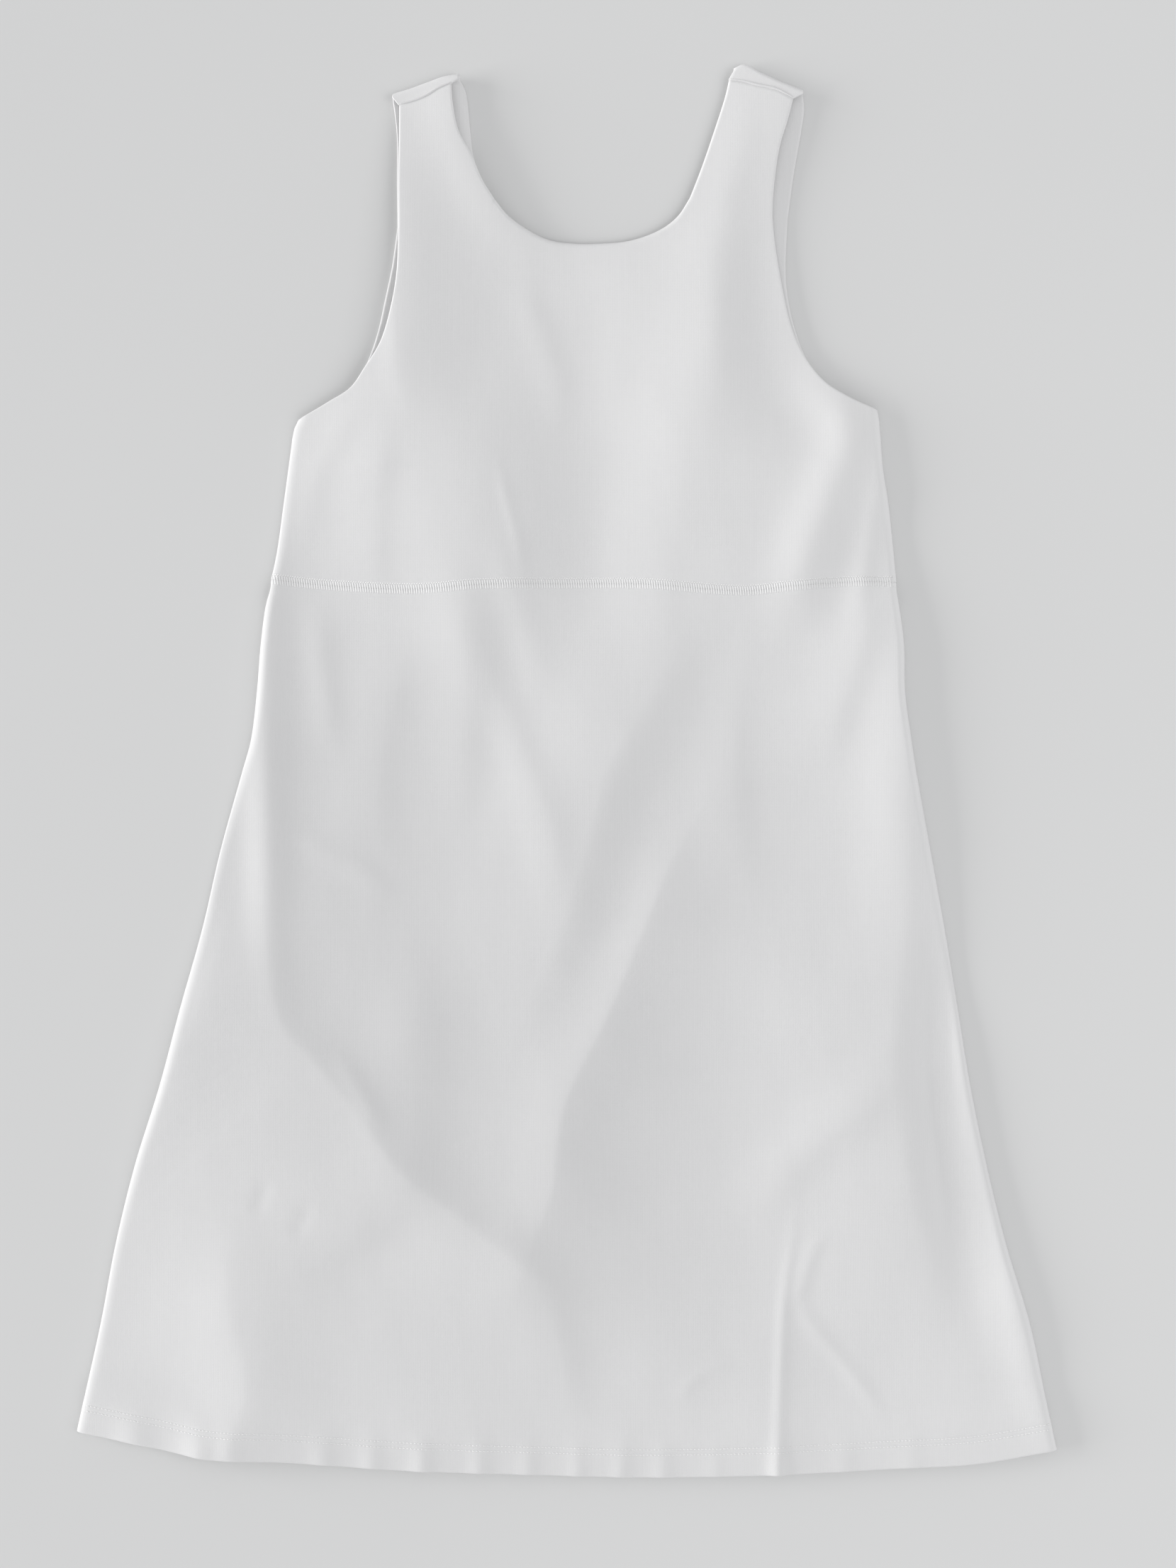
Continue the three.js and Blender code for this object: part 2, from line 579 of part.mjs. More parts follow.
const OUTER_WHITE = 0xe9e8ea;
const dress = new THREE.Group();
dress.add(piece('back_bodice', backBodice(), OUTER_WHITE));
dress.add(piece('back_skirt', backSkirt(), OUTER_WHITE));
dress.add(piece('front_bodice', frontBodice(), OUTER_WHITE));
dress.add(piece('front_skirt', frontSkirt(), OUTER_WHITE));

// The origin is under the middle of the laid-out dress, on the surface that it lies on
const reach = new THREE.Box3().setFromObject(dress);
const middle = reach.getCenter(new THREE.Vector3());
dress.position.set(-middle.x, -middle.y, 0);

const group = new THREE.Group();
group.add(dress);

export default group;
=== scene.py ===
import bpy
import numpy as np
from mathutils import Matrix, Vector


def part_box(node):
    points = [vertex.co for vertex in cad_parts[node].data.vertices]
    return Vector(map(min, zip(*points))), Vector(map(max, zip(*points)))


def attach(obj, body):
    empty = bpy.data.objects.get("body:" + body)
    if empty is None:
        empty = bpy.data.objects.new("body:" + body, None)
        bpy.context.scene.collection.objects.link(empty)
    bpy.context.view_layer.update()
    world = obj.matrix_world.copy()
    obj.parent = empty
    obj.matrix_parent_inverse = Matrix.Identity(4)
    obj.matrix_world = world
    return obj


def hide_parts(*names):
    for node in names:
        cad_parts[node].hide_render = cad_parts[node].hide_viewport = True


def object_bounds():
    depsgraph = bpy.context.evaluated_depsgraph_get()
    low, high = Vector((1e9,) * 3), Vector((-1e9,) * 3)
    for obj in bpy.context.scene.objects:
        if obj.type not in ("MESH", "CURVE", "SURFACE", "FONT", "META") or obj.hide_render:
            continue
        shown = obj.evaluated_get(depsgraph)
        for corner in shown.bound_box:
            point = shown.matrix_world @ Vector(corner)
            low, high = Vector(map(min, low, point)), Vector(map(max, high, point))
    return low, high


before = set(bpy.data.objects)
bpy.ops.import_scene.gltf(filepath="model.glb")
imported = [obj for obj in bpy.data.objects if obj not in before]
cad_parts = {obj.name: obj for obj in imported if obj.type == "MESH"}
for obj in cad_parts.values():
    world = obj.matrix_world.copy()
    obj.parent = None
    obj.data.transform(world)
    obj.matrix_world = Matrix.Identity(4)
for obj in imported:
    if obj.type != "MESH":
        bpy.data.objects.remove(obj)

# A sleeveless athletic dress of smooth white double knit, laid out flat on its back.
# Four cut pieces, front and back bodice and front and back skirt, are drawn from their own edges.
# Shapes are worked out in millimetres: x across the dress, y from hem to shoulders, z up.
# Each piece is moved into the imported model's frame, and turned into metres, as its mesh is made.

CAD_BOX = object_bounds()
MM = 0.001


def table(columns, *rows):
    """A table with named columns: one array for each column."""
    return dict(zip(columns.split(), np.array(rows, float).T))


# Cloth
WALL = 1.2                  # the knit with its soft surface
SEAM_GAP = 0.3              # between two pieces that are sewn together or lie on each other
HEM_DEPTH = 19.0            # cloth turned up at the foot of the skirt
HEM_EXTRA = 1.0             # what the turned-up cloth adds to the wall
HEM_STEP = 4.0              # length over which the wall thickens at the top of the hem
HEM_RISE = 50.0             # from here down the outer face rises for the cloth turned up under it
LEFT_ROLL, RIGHT_ROLL = 5.0, 4.5    # widths of the rounded bends along the side seams
SIDE_SLOPE = 110.0          # the front's loft goes down over this width before the bends
SLOPE_SHARE = 0.75          # and this much of it is lost there
SOFT_STOP = 1.0             # how softly a hollow ends where it meets the back
EDGE_CURL = 1.0             # radius of a turned cut edge
EDGE_BULGE = 0.35           # how far the middle of a wall's rim stands out
INNER_STEP = 4              # cells of the outer face to one of the inner face
SEAM_JOIN = 0.004           # half of what shows between the two cloths of a seam
FOLD_END = 0.35             # share of a fold's length over which it dies away at each end
FOLD_REACH = 3.0            # a fold is left out beyond this many of its own widths

# Shares of the width that the strap roots take of a bodice, and its height at the underarm
LEFT_ROOT, RIGHT_ROOT = 0.26, 0.22
UNDERARM_SHARE = 0.4
SIDE_LENGTH = 102.0         # of a bodice, from the waist seam to the underarm

# Side seams of the skirt: height along the dress, and where its left and right edges are
SKIRT_SIDES = table(
    "y left right",
    (-430, -312.4, 311), (-400, -305.8, 304.6), (-350, -294.8, 294), (-300, -285.4, 279),
    (-250, -273.2, 266.7), (-200, -257.7, 256.4), (-150, -244.4, 248.2), (-100, -230.4, 240),
    (-50, -218.8, 231), (0, -205, 222), (20, -199.5, 219), (50, -195.8, 215), (80, -193.4, 214.3),
    (105, -190.2, 211.2), (122, -186.4, 208.6))

# Side seams of the bodice, from the waist seam to the underarm point
BODICE_LEFT = [(-186.8, 121.4), (-183.2, 138), (-179, 168), (-174.4, 202), (-172.2, 216.6),
               (-169.5, 222.7)]
BODICE_RIGHT = [(209.4, 119.6), (207.4, 141), (204.3, 170), (200.8, 193), (198.7, 220),
                (197.5, 228.8)]
WAIST_LEFT, WAIST_RIGHT = BODICE_LEFT[0][0], BODICE_RIGHT[0][0]
WAIST_WIDTH = WAIST_RIGHT - WAIST_LEFT

# Waist seam and hem edge: height along the dress at each place across it
WAIST_SEAM = table(
    "x y",
    (-187, 121.4), (-150, 117.5), (-95, 115), (-55, 117.8), (0, 118.5), (50, 118.2), (90, 115),
    (115, 114), (140, 116.6), (180, 119.6), (210, 119.6))
HEM_EDGE = table(
    "x y",
    (-309, -418), (-259, -428), (-225, -434.5), (-178, -437), (-100, -442.5), (0, -446),
    (50, -447), (130, -445.6), (205, -441.8), (260, -438.6), (311, -430))

# Cut edges of the two bodices. The strap roots are the lines where the straps leave the chest.
FRONT_CUT = {
    "left_armhole": [(-169.5, 222.7), (-150, 233.8), (-136, 242.5), (-127, 255), (-117, 271), (-110, 294),
        (-106.5, 316), (-105.5, 345)],
    "right_armhole": [(197.5, 228.8), (178, 237.5), (163, 247.5), (150, 265), (142.5, 283), (136.5, 310),
        (132, 338), (130.8, 352)],
    "neck": [(-45, 361.5), (-37.2, 352), (-24.4, 342.7), (-10.4, 336.3), (5, 334.2), (20.4, 334.1),
        (40.8, 336), (60, 343), (71, 351.5), (78.5, 363)],
    "left_outer": [(-105.5, 345), (-105.8, 373), (-105.5, 399), (-105.5, 421.3)],
    "left_inner": [(-45, 361.5), (-52.5, 373.4), (-60.2, 391), (-67.8, 405), (-71.7, 424.5),
        (-72.3, 434.7)],
    "right_inner": [(78.5, 363), (85.5, 381), (93.1, 403), (100.8, 427), (103.2, 437.5)],
    "right_outer": [(130.8, 352), (131.4, 366), (135.3, 395), (140.4, 412), (143.8, 425.5)],
}
BACK_CUT = {
    "left_armhole": [(-169.5, 222.7), (-150, 233.8), (-136, 243), (-128, 254.5), (-120, 275),
        (-113.8, 302), (-110, 320), (-106.5, 345)],
    "right_armhole": [(197.5, 228.8), (178, 237.5), (163, 247.5), (153.1, 260), (146, 277), (141, 297),
        (139.1, 316), (140.3, 350)],
    "neck": [(-46, 356), (-34, 342), (-20, 333), (0, 327.5), (18, 326.5), (40, 328.5), (60, 335),
        (74, 346), (84, 361)],
    "left_outer": [(-106.5, 345), (-106.8, 373), (-107, 405), (-109.6, 427)],
    "left_inner": [(-46, 356), (-53, 374), (-59, 390), (-60.8, 404), (-64, 431), (-67.4, 438.6)],
    "right_inner": [(84, 361), (90, 381), (97, 403), (103.5, 427), (106.4, 443)],
    "right_outer": [(140.3, 350), (144.2, 378.5), (149.3, 408), (150.8, 420), (150, 430)],
}

# Shoulders: the seam that joins front and back strap, and the bend of the back strap above it
SHOULDER_SEAM = {
    "left": [(-105.5, 421.3), (-96, 423.8), (-88.3, 427), (-80.6, 431.5), (-72.3, 434.7)],
    "right": [(103.2, 437.5), (112.3, 436), (121.2, 433.6), (132.7, 431), (143.8, 425.5)],
}
SHOULDER_BEND = {
    "left": [(-109.6, 429), (-98, 432.6), (-87, 436.6), (-77, 440), (-67.4, 441.4)],
    "right": [(106.4, 445.4), (113, 448), (122, 443.4), (136, 437), (150, 431.5)],
}

# How far the front panel floats above the back panel before any fold is counted
LOFT = table(
    "y height",
    (-450, 0.5), (-400, 1.4), (-330, 2.6), (-250, 3), (-100, 2.6), (50, 2.1), (200, 1.8), (340, 1.2),
    (450, 0.5))


def fold(height, west, east, *path, power=2.0):
    """One fold: crest height, widths of its two flanks, and points along the crest downwards. A power
    under 2 makes the crest sharper."""
    return {"height": height, "west": west, "east": east, "path": path, "power": power}


# Large folds of the front. The solid pieces have them too, all but the waist crease and the fold at
# the left armhole.
FOLDS = {
    "left ridge": fold(3.6, 13, 13, (-190, 190), (-190, 90), (-190, 20), (-189, -40), (-187, -100),
        (-183, -150), (-172, -175)),
    "left terrace": fold(4.8, 105, 18, (-192, -60), (-188, -120), (-180, -160), (-162, -181), (-140, -207),
        (-104, -254), (-80, -273), (-28, -312), (10, -338), (50, -366), power=1.5),
    "terrace foot": fold(1.8, 36, 16, (-56, -280), (-26, -316), (-11, -345), (-3, -380), (2, -430)),
    "left hollow": fold(-2.6, 70, 92, (-96, 130), (-92, 60), (-82, 0), (-68, -60), (-50, -120),
        (-36, -190), (-30, -260)),
    "left flare": fold(1.6, 14, 26, (-203, -50), (-213, -100), (-228, -145), (-246, -190), (-266, -235),
        (-284, -290)),
    "lower left ridge": fold(4.6, 34, 40, (-204, -268), (-213, -315), (-213, -340), (-204, -375),
        (-204, -405), (-226, -450), (-240, -500), power=1.6),
    "centre step": fold(2, 30, 22, (-94, -100), (-99, -160), (-99, -200), (-100, -250), (-104, -300)),
    "left of centre ridge": fold(1.7, 20, 15, (-66, 150), (-66, 90), (-65, 40), (-66, 0), (-74, -50)),
    "waist crease": fold(0.9, 12, 14, (-44, 160), (-38, 128), (-30, 108), (-22, 80), (-12, 40)),
    "short sharp ridge": fold(1.2, 16, 12, (-62, 140), (-58, 95), (-50, 58), (-40, 38), (-29, 12),
        (-20, -10), (-11, -38), (-3, -75), (4, -118)),
    "main diagonal ridge": fold(5.8, 66, 25, (96, 130), (70, 85), (54, 50), (24, 0), (13, -38), (2, -78),
        (-18, -130), (-34, -165), (-50, -200)),
    "second diagonal ridge": fold(5.2, 32, 32, (108, 20), (88, -20), (68, -55), (50, -98), (26, -155),
        (1, -206), (-5, -235), (-8, -262), (-27, -314), (-44, -360), power=1.4),
    "broad hollow": fold(-3.6, 80, 110, (104, -90), (116, -180), (120, -240), (114, -300), (96, -390)),
    "right ridge": fold(4.4, 27, 21, (212, 170), (212, 100), (213, 20), (214, -60), (213, -110),
        (206, -160)),
    "lower right ridge": fold(5.8, 90, 26, (213, -60), (209, -120), (203, -180), (209, -230), (216, -270),
        (226, -310), (238, -365)),
    "right trough": fold(-2.6, 14, 8, (240, -60), (240, -130), (238, -190), (242, -250), (250, -300),
        (259, -345), (270, -390)),
    "right edge ridge": fold(2.6, 12, 14, (238, -40), (248, -120), (254, -180), (268, -250), (284, -330),
        (314, -470)),
    "soft diagonal": fold(2, 20, 16, (222, -176), (200, -200), (178, -218), (150, -240), (132, -262),
        (116, -300)),
    "left crest": fold(6.2, 62, 54, (-100, 475), (-107, 380), (-107, 300), (-104, 250), (-92, 222),
        (-75, 203), (-63, 176), (-58, 140), (-56, 95), (-58, 0)),
    "left neck ridge": fold(2.8, 20, 13, (-76, 500), (-73, 440), (-68, 410), (-60, 388), (-48, 364),
        (-34, 347), (-14, 334), (10, 324)),
    "centre hollow of the bodice": fold(-1.8, 28, 22, (12, 360), (9, 290), (8, 240), (14, 190), (14, 140),
        (10, 80)),
    "right neck ridge": fold(3.6, 36, 26, (152, 500), (136, 430), (124, 385), (110, 348), (98, 315),
        (92, 250), (88, 215), (82, 175)),
    "centre band": fold(4, 38, 105, (90, 290), (82, 230), (76, 180), (70, 130), (68, 80), (66, 30)),
    "left armhole fold": fold(2, 10, 28, (-104, 450), (-107, 380), (-107, 300), (-104, 250), (-92, 215)),
    "right armhole hollow": fold(-2.2, 18, 20, (140, 450), (128, 390), (122, 350), (120, 310), (124, 270),
        (136, 240), (156, 215), (172, 190)),
    "right bust ridge": fold(4.2, 18, 18, (148, 275), (162, 243), (175, 224), (177, 205), (168, 177),
        (155, 142), (148, 118), (140, 70)),
}

# Creases too fine for the solid pieces
CREASES = {
    "upright crease": fold(0.9, 4, 4, (148, -262), (142, -305), (138, -335), (136, -380), (134, -440),
        (133, -500)),
    "upright crease's shoulder": fold(0.5, 26, 16, (140, -280), (136, -330), (132, -380), (128, -470)),
    "low right diagonal": fold(0.6, 5, 5, (142, -320), (154, -348), (172, -370), (190, -393),
        (206, -420)),
    "small bow": fold(0.4, 4, 5, (70, -404), (78, -388), (92, -378), (112, -376)),
    "crumple": fold(0.7, 6, 5, (168, -288), (156, -304), (150, -322), (144, -345)),
    "flare fold": fold(0.9, 7, 6, (-150, -172), (-137, -190), (-126, -208), (-112, -232)),
    "low left fold": fold(-1.1, 16, 26, (-84, -266), (-104, -294), (-136, -316), (-172, -324)),
    "first dent": fold(-0.4, 5, 5, (-186, -256), (-192, -268), (-194, -284)),
    "second dent": fold(-0.4, 6, 5, (-160, -270), (-166, -284), (-172, -298)),
    "small left": fold(1.2, 11, 10, (-158, 118), (-156, 80), (-150, 30), (-148, 0)),
    "left centre": fold(1.4, 22, 15, (-98, 90), (-112, 50), (-120, 0), (-118, -60)),
    "left cross crease": fold(0.8, 9, 8, (-182, -30), (-160, -48), (-130, -62), (-106, -84)),
    "right centre": fold(1.2, 20, 13, (112, 100), (106, 60), (104, 20), (106, -30), (114, -100)),
    "right streak": fold(2.4, 22, 14, (200, 140), (188, 95), (178, 62), (168, 30), (158, -10)),
    "right edge lens": fold(1.7, 9, 8, (206, 225), (200, 190), (192, 150), (187, 120), (184, 80)),
    "right neck fold": fold(0.5, 12, 13, (124, 450), (108, 385), (98, 335), (94, 295), (88, 240),
        (84, 200)),
    "left bust": fold(1.2, 22, 12, (-112, 235), (-120, 190), (-122, 150), (-120, 90)),
    "left underarm": fold(0.5, 10, 9, (-118, 250), (-142, 215), (-160, 180), (-168, 130)),
    "bodice dent": fold(1.1, 12, 11, (-16, 330), (-24, 300), (-12, 265), (-4, 240), (0, 205)),
    "thin crease": fold(0.5, 4, 4, (-44, 205), (-38, 175), (-30, 145), (-25, 112)),
}

# Short puckers above the hem: place across the dress, height and width
HEM_PUCKERS = table(
    "x height width",
    (-273, 1.6, 11), (-232, 1.6, 9), (-212, 0.9, 8), (-154, 1.2, 8), (-123, 1.1, 7), (-91, 1.5, 7),
    (-55, 1.2, 7), (-24, 1.0, 7), (7, 0.9, 6), (35, 0.9, 6), (61, 1.0, 7), (94, 0.5, 6),
    (134, 1.6, 6), (176, 0.7, 8), (218, 0.6, 8))
PUCKER_RISE = 32.0          # how far a hem pucker reaches up the skirt

# Slow unevenness of the cloth: height, waves per metre across and along, and phase
UNEVENNESS = table(
    "height across along phase",
    (0.22, 5.0, 3.0, 0.4), (0.12, 9.0, -4.0, 2.1), (0.05, 17.0, 6.5, 4.4), (0.022, 29.0, -7.0, 1.2),
    (0.04, 8.0, 13.0, 5.2), (0.012, 44.0, 9.0, 3.3))

# The back's soft creases: lengths for one radian of each wave, and its phase. The product of the
# first two gives broad creases, and the third gives narrow ones.
BACK_WAVES = table("across along phase", (31, 140, 0), (83, -57, 1.3), (17, -210, 0))
BROAD_SHARE, NARROW_SHARE = 0.5, 0.35
BACK_LIFT = 1.4
FLAT_SIDE, SIDE_BLEND = 6.0, 20.0       # flat along the side seams, and the width over which it rises
FLAT_HEM, HEM_BLEND = 26.0, 30.0        # the same above the hem
FLAT_CHEST, CHEST_BLEND = 300.0, 60.0   # flat above this height, and the same below it

# Seam of the waist: how deep it draws the cloth in, how wide, and the bars and loops of its ladder
SEAM_DEPTH, SEAM_WIDTH = 0.25, 4.6
LADDER_PITCH = 1.55
LADDER_LEFT, LADDER_RIGHT = 1.2, 1.6    # left free beside the side seams
LADDER_REACH = 3.1          # from the middle of the seam to the end of a bar
REACH_CHANGE, REACH_WAVE = 0.15, 2.3    # it changes by this much, in waves of so many radians per mm
BAR_LEAN = 0.4              # each end of a bar is this far beside its middle
LEAN_CHANGE, LEAN_WAVE = 0.1, 1.7
LOOP_START, LOOP_END = (-0.2, 0.1), (-0.5, 0.45)    # beside and above the ends of the bars it joins
BAR_WIDTH, BAR_HEIGHT = 0.42, 0.16        # half of each, of a ladder bar
STITCH_WIDTH, STITCH_HEIGHT = 0.3, 0.15   # half of each, of a stitch of the hem
THREAD_CLEARANCE = 0.02     # between the threads under the dress and the floor

# Hem stitching: two rows of stitches above the edge
STITCH_ROWS = (14.5, 18.0)
STITCH_PITCH = 2.3
STITCH_GAP = 0.35
STITCHING_END = 6.0         # left free at both ends of the hem
GROOVE_DEPTH, GROOVE_WIDTH = 0.22, 0.9

# Shoulder seam lips: half their width and height, and how they lie and end
LIP_WIDTH, LIP_HEIGHT = 0.9, 0.75
LIP_UP, LIP_SINK = 0.7, 0.1             # towards the shoulder from the seam, and into the cloth
LIP_END = 0.01              # share of the seam left free at each end
LIP_POINT, LIP_SWELL = 0.04, 0.4        # where the half wave of its thickness starts, and its power

# Cells of the grids. A bodice's columns are those of the left strap root, neck and right strap root.
FRONT_SKIRT_CELLS, BACK_SKIRT_CELLS = (300, 220), (90, 80)      # across and along
FRONT_COLUMNS, BACK_COLUMNS = (60, 116, 50), (26, 44, 22)
FRONT_ROWS = {"side": 44, "armhole": 86, "strap": 44}
BACK_ROWS = {"side": 16, "armhole": 34, "strap": 26}
SHOULDER_STEPS, BEND_ROWS, FORWARD_ROWS = 24, 12, 8
STITCH_STEPS, LIP_STEPS = 5, 40

# Finer rows and columns, by their distances in from the hem, the waist seam and an edge
HEM_ROWS = np.array([0, 0.3, 0.7, 1.3, 3, 6, 9, 12, 13.2, 13.9, 14.5, 15.1, 15.8, 16.6, 17.4, 18, 18.6,
                     19.3, 20.4, 22, 24.5])
WAIST_ROWS = np.array([0, 0.7, 1.4, 2.3, 3.1, 3.9, 4.8, 6, 8, 11])
EDGE_COLUMNS = np.array([0.25, 0.6, 1.1, 1.8])
EDGE_CLEARANCE = 1.3        # the next column is at least so many times as far in as the last
SKIRT_WIDTH = 500.0         # the mean one, to place the columns by
WAIST_BLEND = 0.03          # share of the skirt's height over which its sides run into the waist seam
SIDE_TOP, SIDE_STEP = 118.0, 4.0        # where the skirt's sides end below the waist, and their points
TINY = 1e-12


def look_up(rows, key, column, place):
    """Value between a table's rows, which rise by their key: a cubic with the slopes of the
    neighbouring rows."""
    x, y = rows[key], rows[column]
    last = len(x) - 1
    low = np.maximum(np.arange(last + 1) - 1, 0)
    high = np.minimum(np.arange(last + 1) + 1, last)
    slope = (y[high] - y[low]) / (x[high] - x[low])
    at = np.clip(place, x[0], x[-1])
    k = np.clip(np.searchsorted(x, at) - 1, 0, last - 1)
    span = x[k + 1] - x[k]
    t = (at - x[k]) / span
    ends = y[k] * (1 + 2 * t) * (1 - t) ** 2 + y[k + 1] * t**2 * (3 - 2 * t)
    return ends + span * (slope[k] * t * (1 - t) ** 2 - slope[k + 1] * t**2 * (1 - t))


def curve_through(points, samples=40):
    """Close points on a smooth curve through the given ones: a centripetal Catmull-Rom curve."""
    p = np.array(points, float)
    p = np.vstack([2 * p[0] - p[1], p, 2 * p[-1] - p[-2]])
    t = np.linspace(0, 1, samples, endpoint=False)[:, None]
    pieces = []
    for a, b, c, d in zip(p, p[1:], p[2:], p[3:]):
        before, span, after = (np.hypot(*(q - r)) ** 0.5 for q, r in ((b, a), (c, b), (d, c)))
        leave = ((b - a) / before - (c - a) / (before + span) + (c - b) / span) * span
        arrive = ((c - b) / span - (d - b) / (span + after) + (d - c) / after) * span
        middle = b * (1 + 2 * t) * (1 - t) ** 2 + c * t**2 * (3 - 2 * t)
        pieces.append(middle + leave * t * (1 - t) ** 2 - arrive * t**2 * (1 - t))
    return np.vstack([*pieces, p[-2]])


def points_along(line, shares):
    """Points at the given shares of a line's length."""
    run = np.r_[0, np.cumsum(np.hypot(*np.diff(line, axis=0).T))]
    return np.stack([np.interp(np.asarray(shares) * run[-1], run, line[:, i]) for i in (0, 1)], 1)


def smooth(t):
    """A step from 0 to 1 with soft ends."""
    t = np.clip(t, 0, 1)
    return t * t * (3 - 2 * t)


def nearest_on(line, x, y):
    """Distance from each place to a line, the share of its length there, and the side it lies on."""
    step = np.diff(line, axis=0)
    length = np.hypot(*step.T)
    run = np.r_[0, np.cumsum(length)]
    nearest = np.full(x.shape, np.inf)
    share, side = np.zeros(x.shape), np.zeros(x.shape)
    for k, (sx, sy) in enumerate(step):
        dx, dy = x - line[k, 0], y - line[k, 1]
        t = np.clip((dx * sx + dy * sy) / length[k] ** 2, 0, 1)
        away = np.hypot(dx - t * sx, dy - t * sy)
        closer = away < nearest
        nearest = np.where(closer, away, nearest)
        share = np.where(closer, (run[k] + t * length[k]) / run[-1], share)
        side = np.where(closer, sx * dy - sy * dx, side)
    return nearest, share, side


def folds_at(folds, x, y):
    """Height of a set of folds: a bell across each crest line, dying away towards its two ends."""
    total = np.zeros(x.shape)
    for one in folds.values():
        line = curve_through(one["path"], samples=7)
        reach = FOLD_REACH * max(one["west"], one["east"])
        low, high = line.min(0) - reach, line.max(0) + reach
        near = (x > low[0]) & (x < high[0]) & (y > low[1]) & (y < high[1])
        away, share, side = nearest_on(line, x[near], y[near])
        width = np.where(side > 0, one["east"], one["west"])
        fade = smooth(np.minimum(share, 1 - share) / FOLD_END)
        total[near] += one["height"] * fade * np.exp(-((away / width) ** one["power"]))
    return total


def waist_at(x):
    """Height of the waist seam at each place across."""
    return look_up(WAIST_SEAM, "x", "y", x)


def hem_at(x):
    """Height of the hem's edge at each place across."""
    return look_up(HEM_EDGE, "x", "y", x)


def side_line(name, bodice_seam):
    """A whole side seam: the skirt's edge from the hem up, then the bodice's."""
    y = np.arange(SKIRT_SIDES["y"][0], SIDE_TOP, SIDE_STEP)
    x = look_up(SKIRT_SIDES, "y", name, y)
    return np.vstack([np.stack([x, y], 1), curve_through(bodice_seam, samples=8)])


SIDE_LINES = [side_line("left", BODICE_LEFT), side_line("right", BODICE_RIGHT)]


def side_distances(x, y):
    """Distances to the left and the right side seam."""
    return [nearest_on(line, x, y)[0] for line in SIDE_LINES]


def quarter_round(t):
    """A rise from 0 to 1 that starts upright and ends level."""
    return np.sqrt(1 - (1 - np.clip(t, 0, 1)) ** 2)


def skirt_wall(x, y):
    """Thickness of the skirt: one wall, and more where the hem is turned up."""
    return WALL + HEM_EXTRA * smooth((HEM_DEPTH + HEM_STEP - (y - hem_at(x))) / HEM_STEP)


def unevenness(x, y):
    """A sum of slow waves, so that no part of the cloth is quite flat."""
    rows = zip(*UNEVENNESS.values())
    return sum(h * np.sin(2 * np.pi * MM * (a * x + b * y) + phase) for h, a, b, phase in rows)


def hem_puckers(x, y):
    """Narrow bells across the hem stitching, gone a little way up the skirt."""
    above = np.clip((y - hem_at(x)) / PUCKER_RISE, 0, 1)
    rows = zip(*HEM_PUCKERS.values())
    total = sum(height * np.exp(-(((x - place) / width) ** 2)) for place, height, width in rows)
    return total * (1 - smooth(above))


def seam_marks(x, y):
    """What sewing does to the surface: a shallow valley at the waist and a groove under each stitch row."""
    waist = SEAM_DEPTH * np.exp(-(((y - waist_at(x)) / SEAM_WIDTH) ** 4))
    above_hem = y - hem_at(x)
    grooves = sum(np.exp(-(((above_hem - row) / GROOVE_WIDTH) ** 2)) for row in STITCH_ROWS)
    return -waist - GROOVE_DEPTH * grooves


def front_height(x, y):
    """Height of the front's outer face. It stands off the back by its loft and folds, never goes
    through it, and comes down to it along both side seams in a long slope and a quarter round."""
    wall = WALL + HEM_EXTRA * smooth((HEM_RISE - (y - hem_at(x))) / (HEM_RISE - HEM_DEPTH))
    folds = folds_at(FOLDS, x, y) + folds_at(CREASES, x, y)
    left, right = side_distances(x, y)
    slope = 1 - SLOPE_SHARE * (1 - smooth(np.minimum(left, right) / SIDE_SLOPE))
    stand = slope * look_up(LOFT, "y", "height", y) + folds + unevenness(x, y) + hem_puckers(x, y)
    stand = 0.5 * (stand + np.sqrt(stand**2 + SOFT_STOP**2))
    bend = quarter_round(left / LEFT_ROLL) * quarter_round(right / RIGHT_ROLL)
    return wall + SEAM_GAP + bend * (wall + stand + seam_marks(x, y))


def even(count):
    """Shares from 0 to 1 in equal steps."""
    return np.linspace(0, 1, count + 1)


def finer_ends(shares, width):
    """Shares with extra ones close to both ends, for the bend of an edge."""
    extra = EDGE_COLUMNS / width
    clear = extra[-1] * EDGE_CLEARANCE
    inner = shares[(shares > clear) & (shares < 1 - clear)]
    return np.r_[0, extra, inner, 1 - extra[::-1], 1]


def patch(bottom, top, left, right, across, along):
    """A grid between four edges, each followed exactly: the two ruled grids' sum less the bilinear one."""
    u, v = across[None, :, None], along[:, None, None]
    sides = (1 - u) * left[:, None] + u * right[:, None]
    ends = (1 - v) * bottom[None] + v * top[None]
    low = (1 - u) * left[0] + u * right[0]
    high = (1 - u) * left[-1] + u * right[-1]
    return sides + ends - (1 - v) * low - v * high


def columns_of(left, neck, right):
    """Shares across a bodice, with the first and last column of the neck."""
    shares = np.r_[
        even(left) * LEFT_ROOT,
        LEFT_ROOT + even(neck)[1:] * (1 - LEFT_ROOT - RIGHT_ROOT),
        1 - RIGHT_ROOT * (1 - even(right)[1:])]
    shares = finer_ends(shares, WAIST_WIDTH)
    first = int(np.argmin(abs(shares - LEFT_ROOT)))
    last = int(np.argmin(abs(shares - 1 + RIGHT_ROOT)))
    return shares, first, last


def waist_places(across, offset):
    """Places across the waist seam, a little above or below its middle."""
    x = WAIST_LEFT + across * WAIST_WIDTH
    return np.stack([x, waist_at(x) + offset], 1)


def numbers_for(places, first):
    """Point numbers for a grid of places, counted on from the first."""
    return first + np.arange(places[..., 0].size).reshape(places.shape[:2])


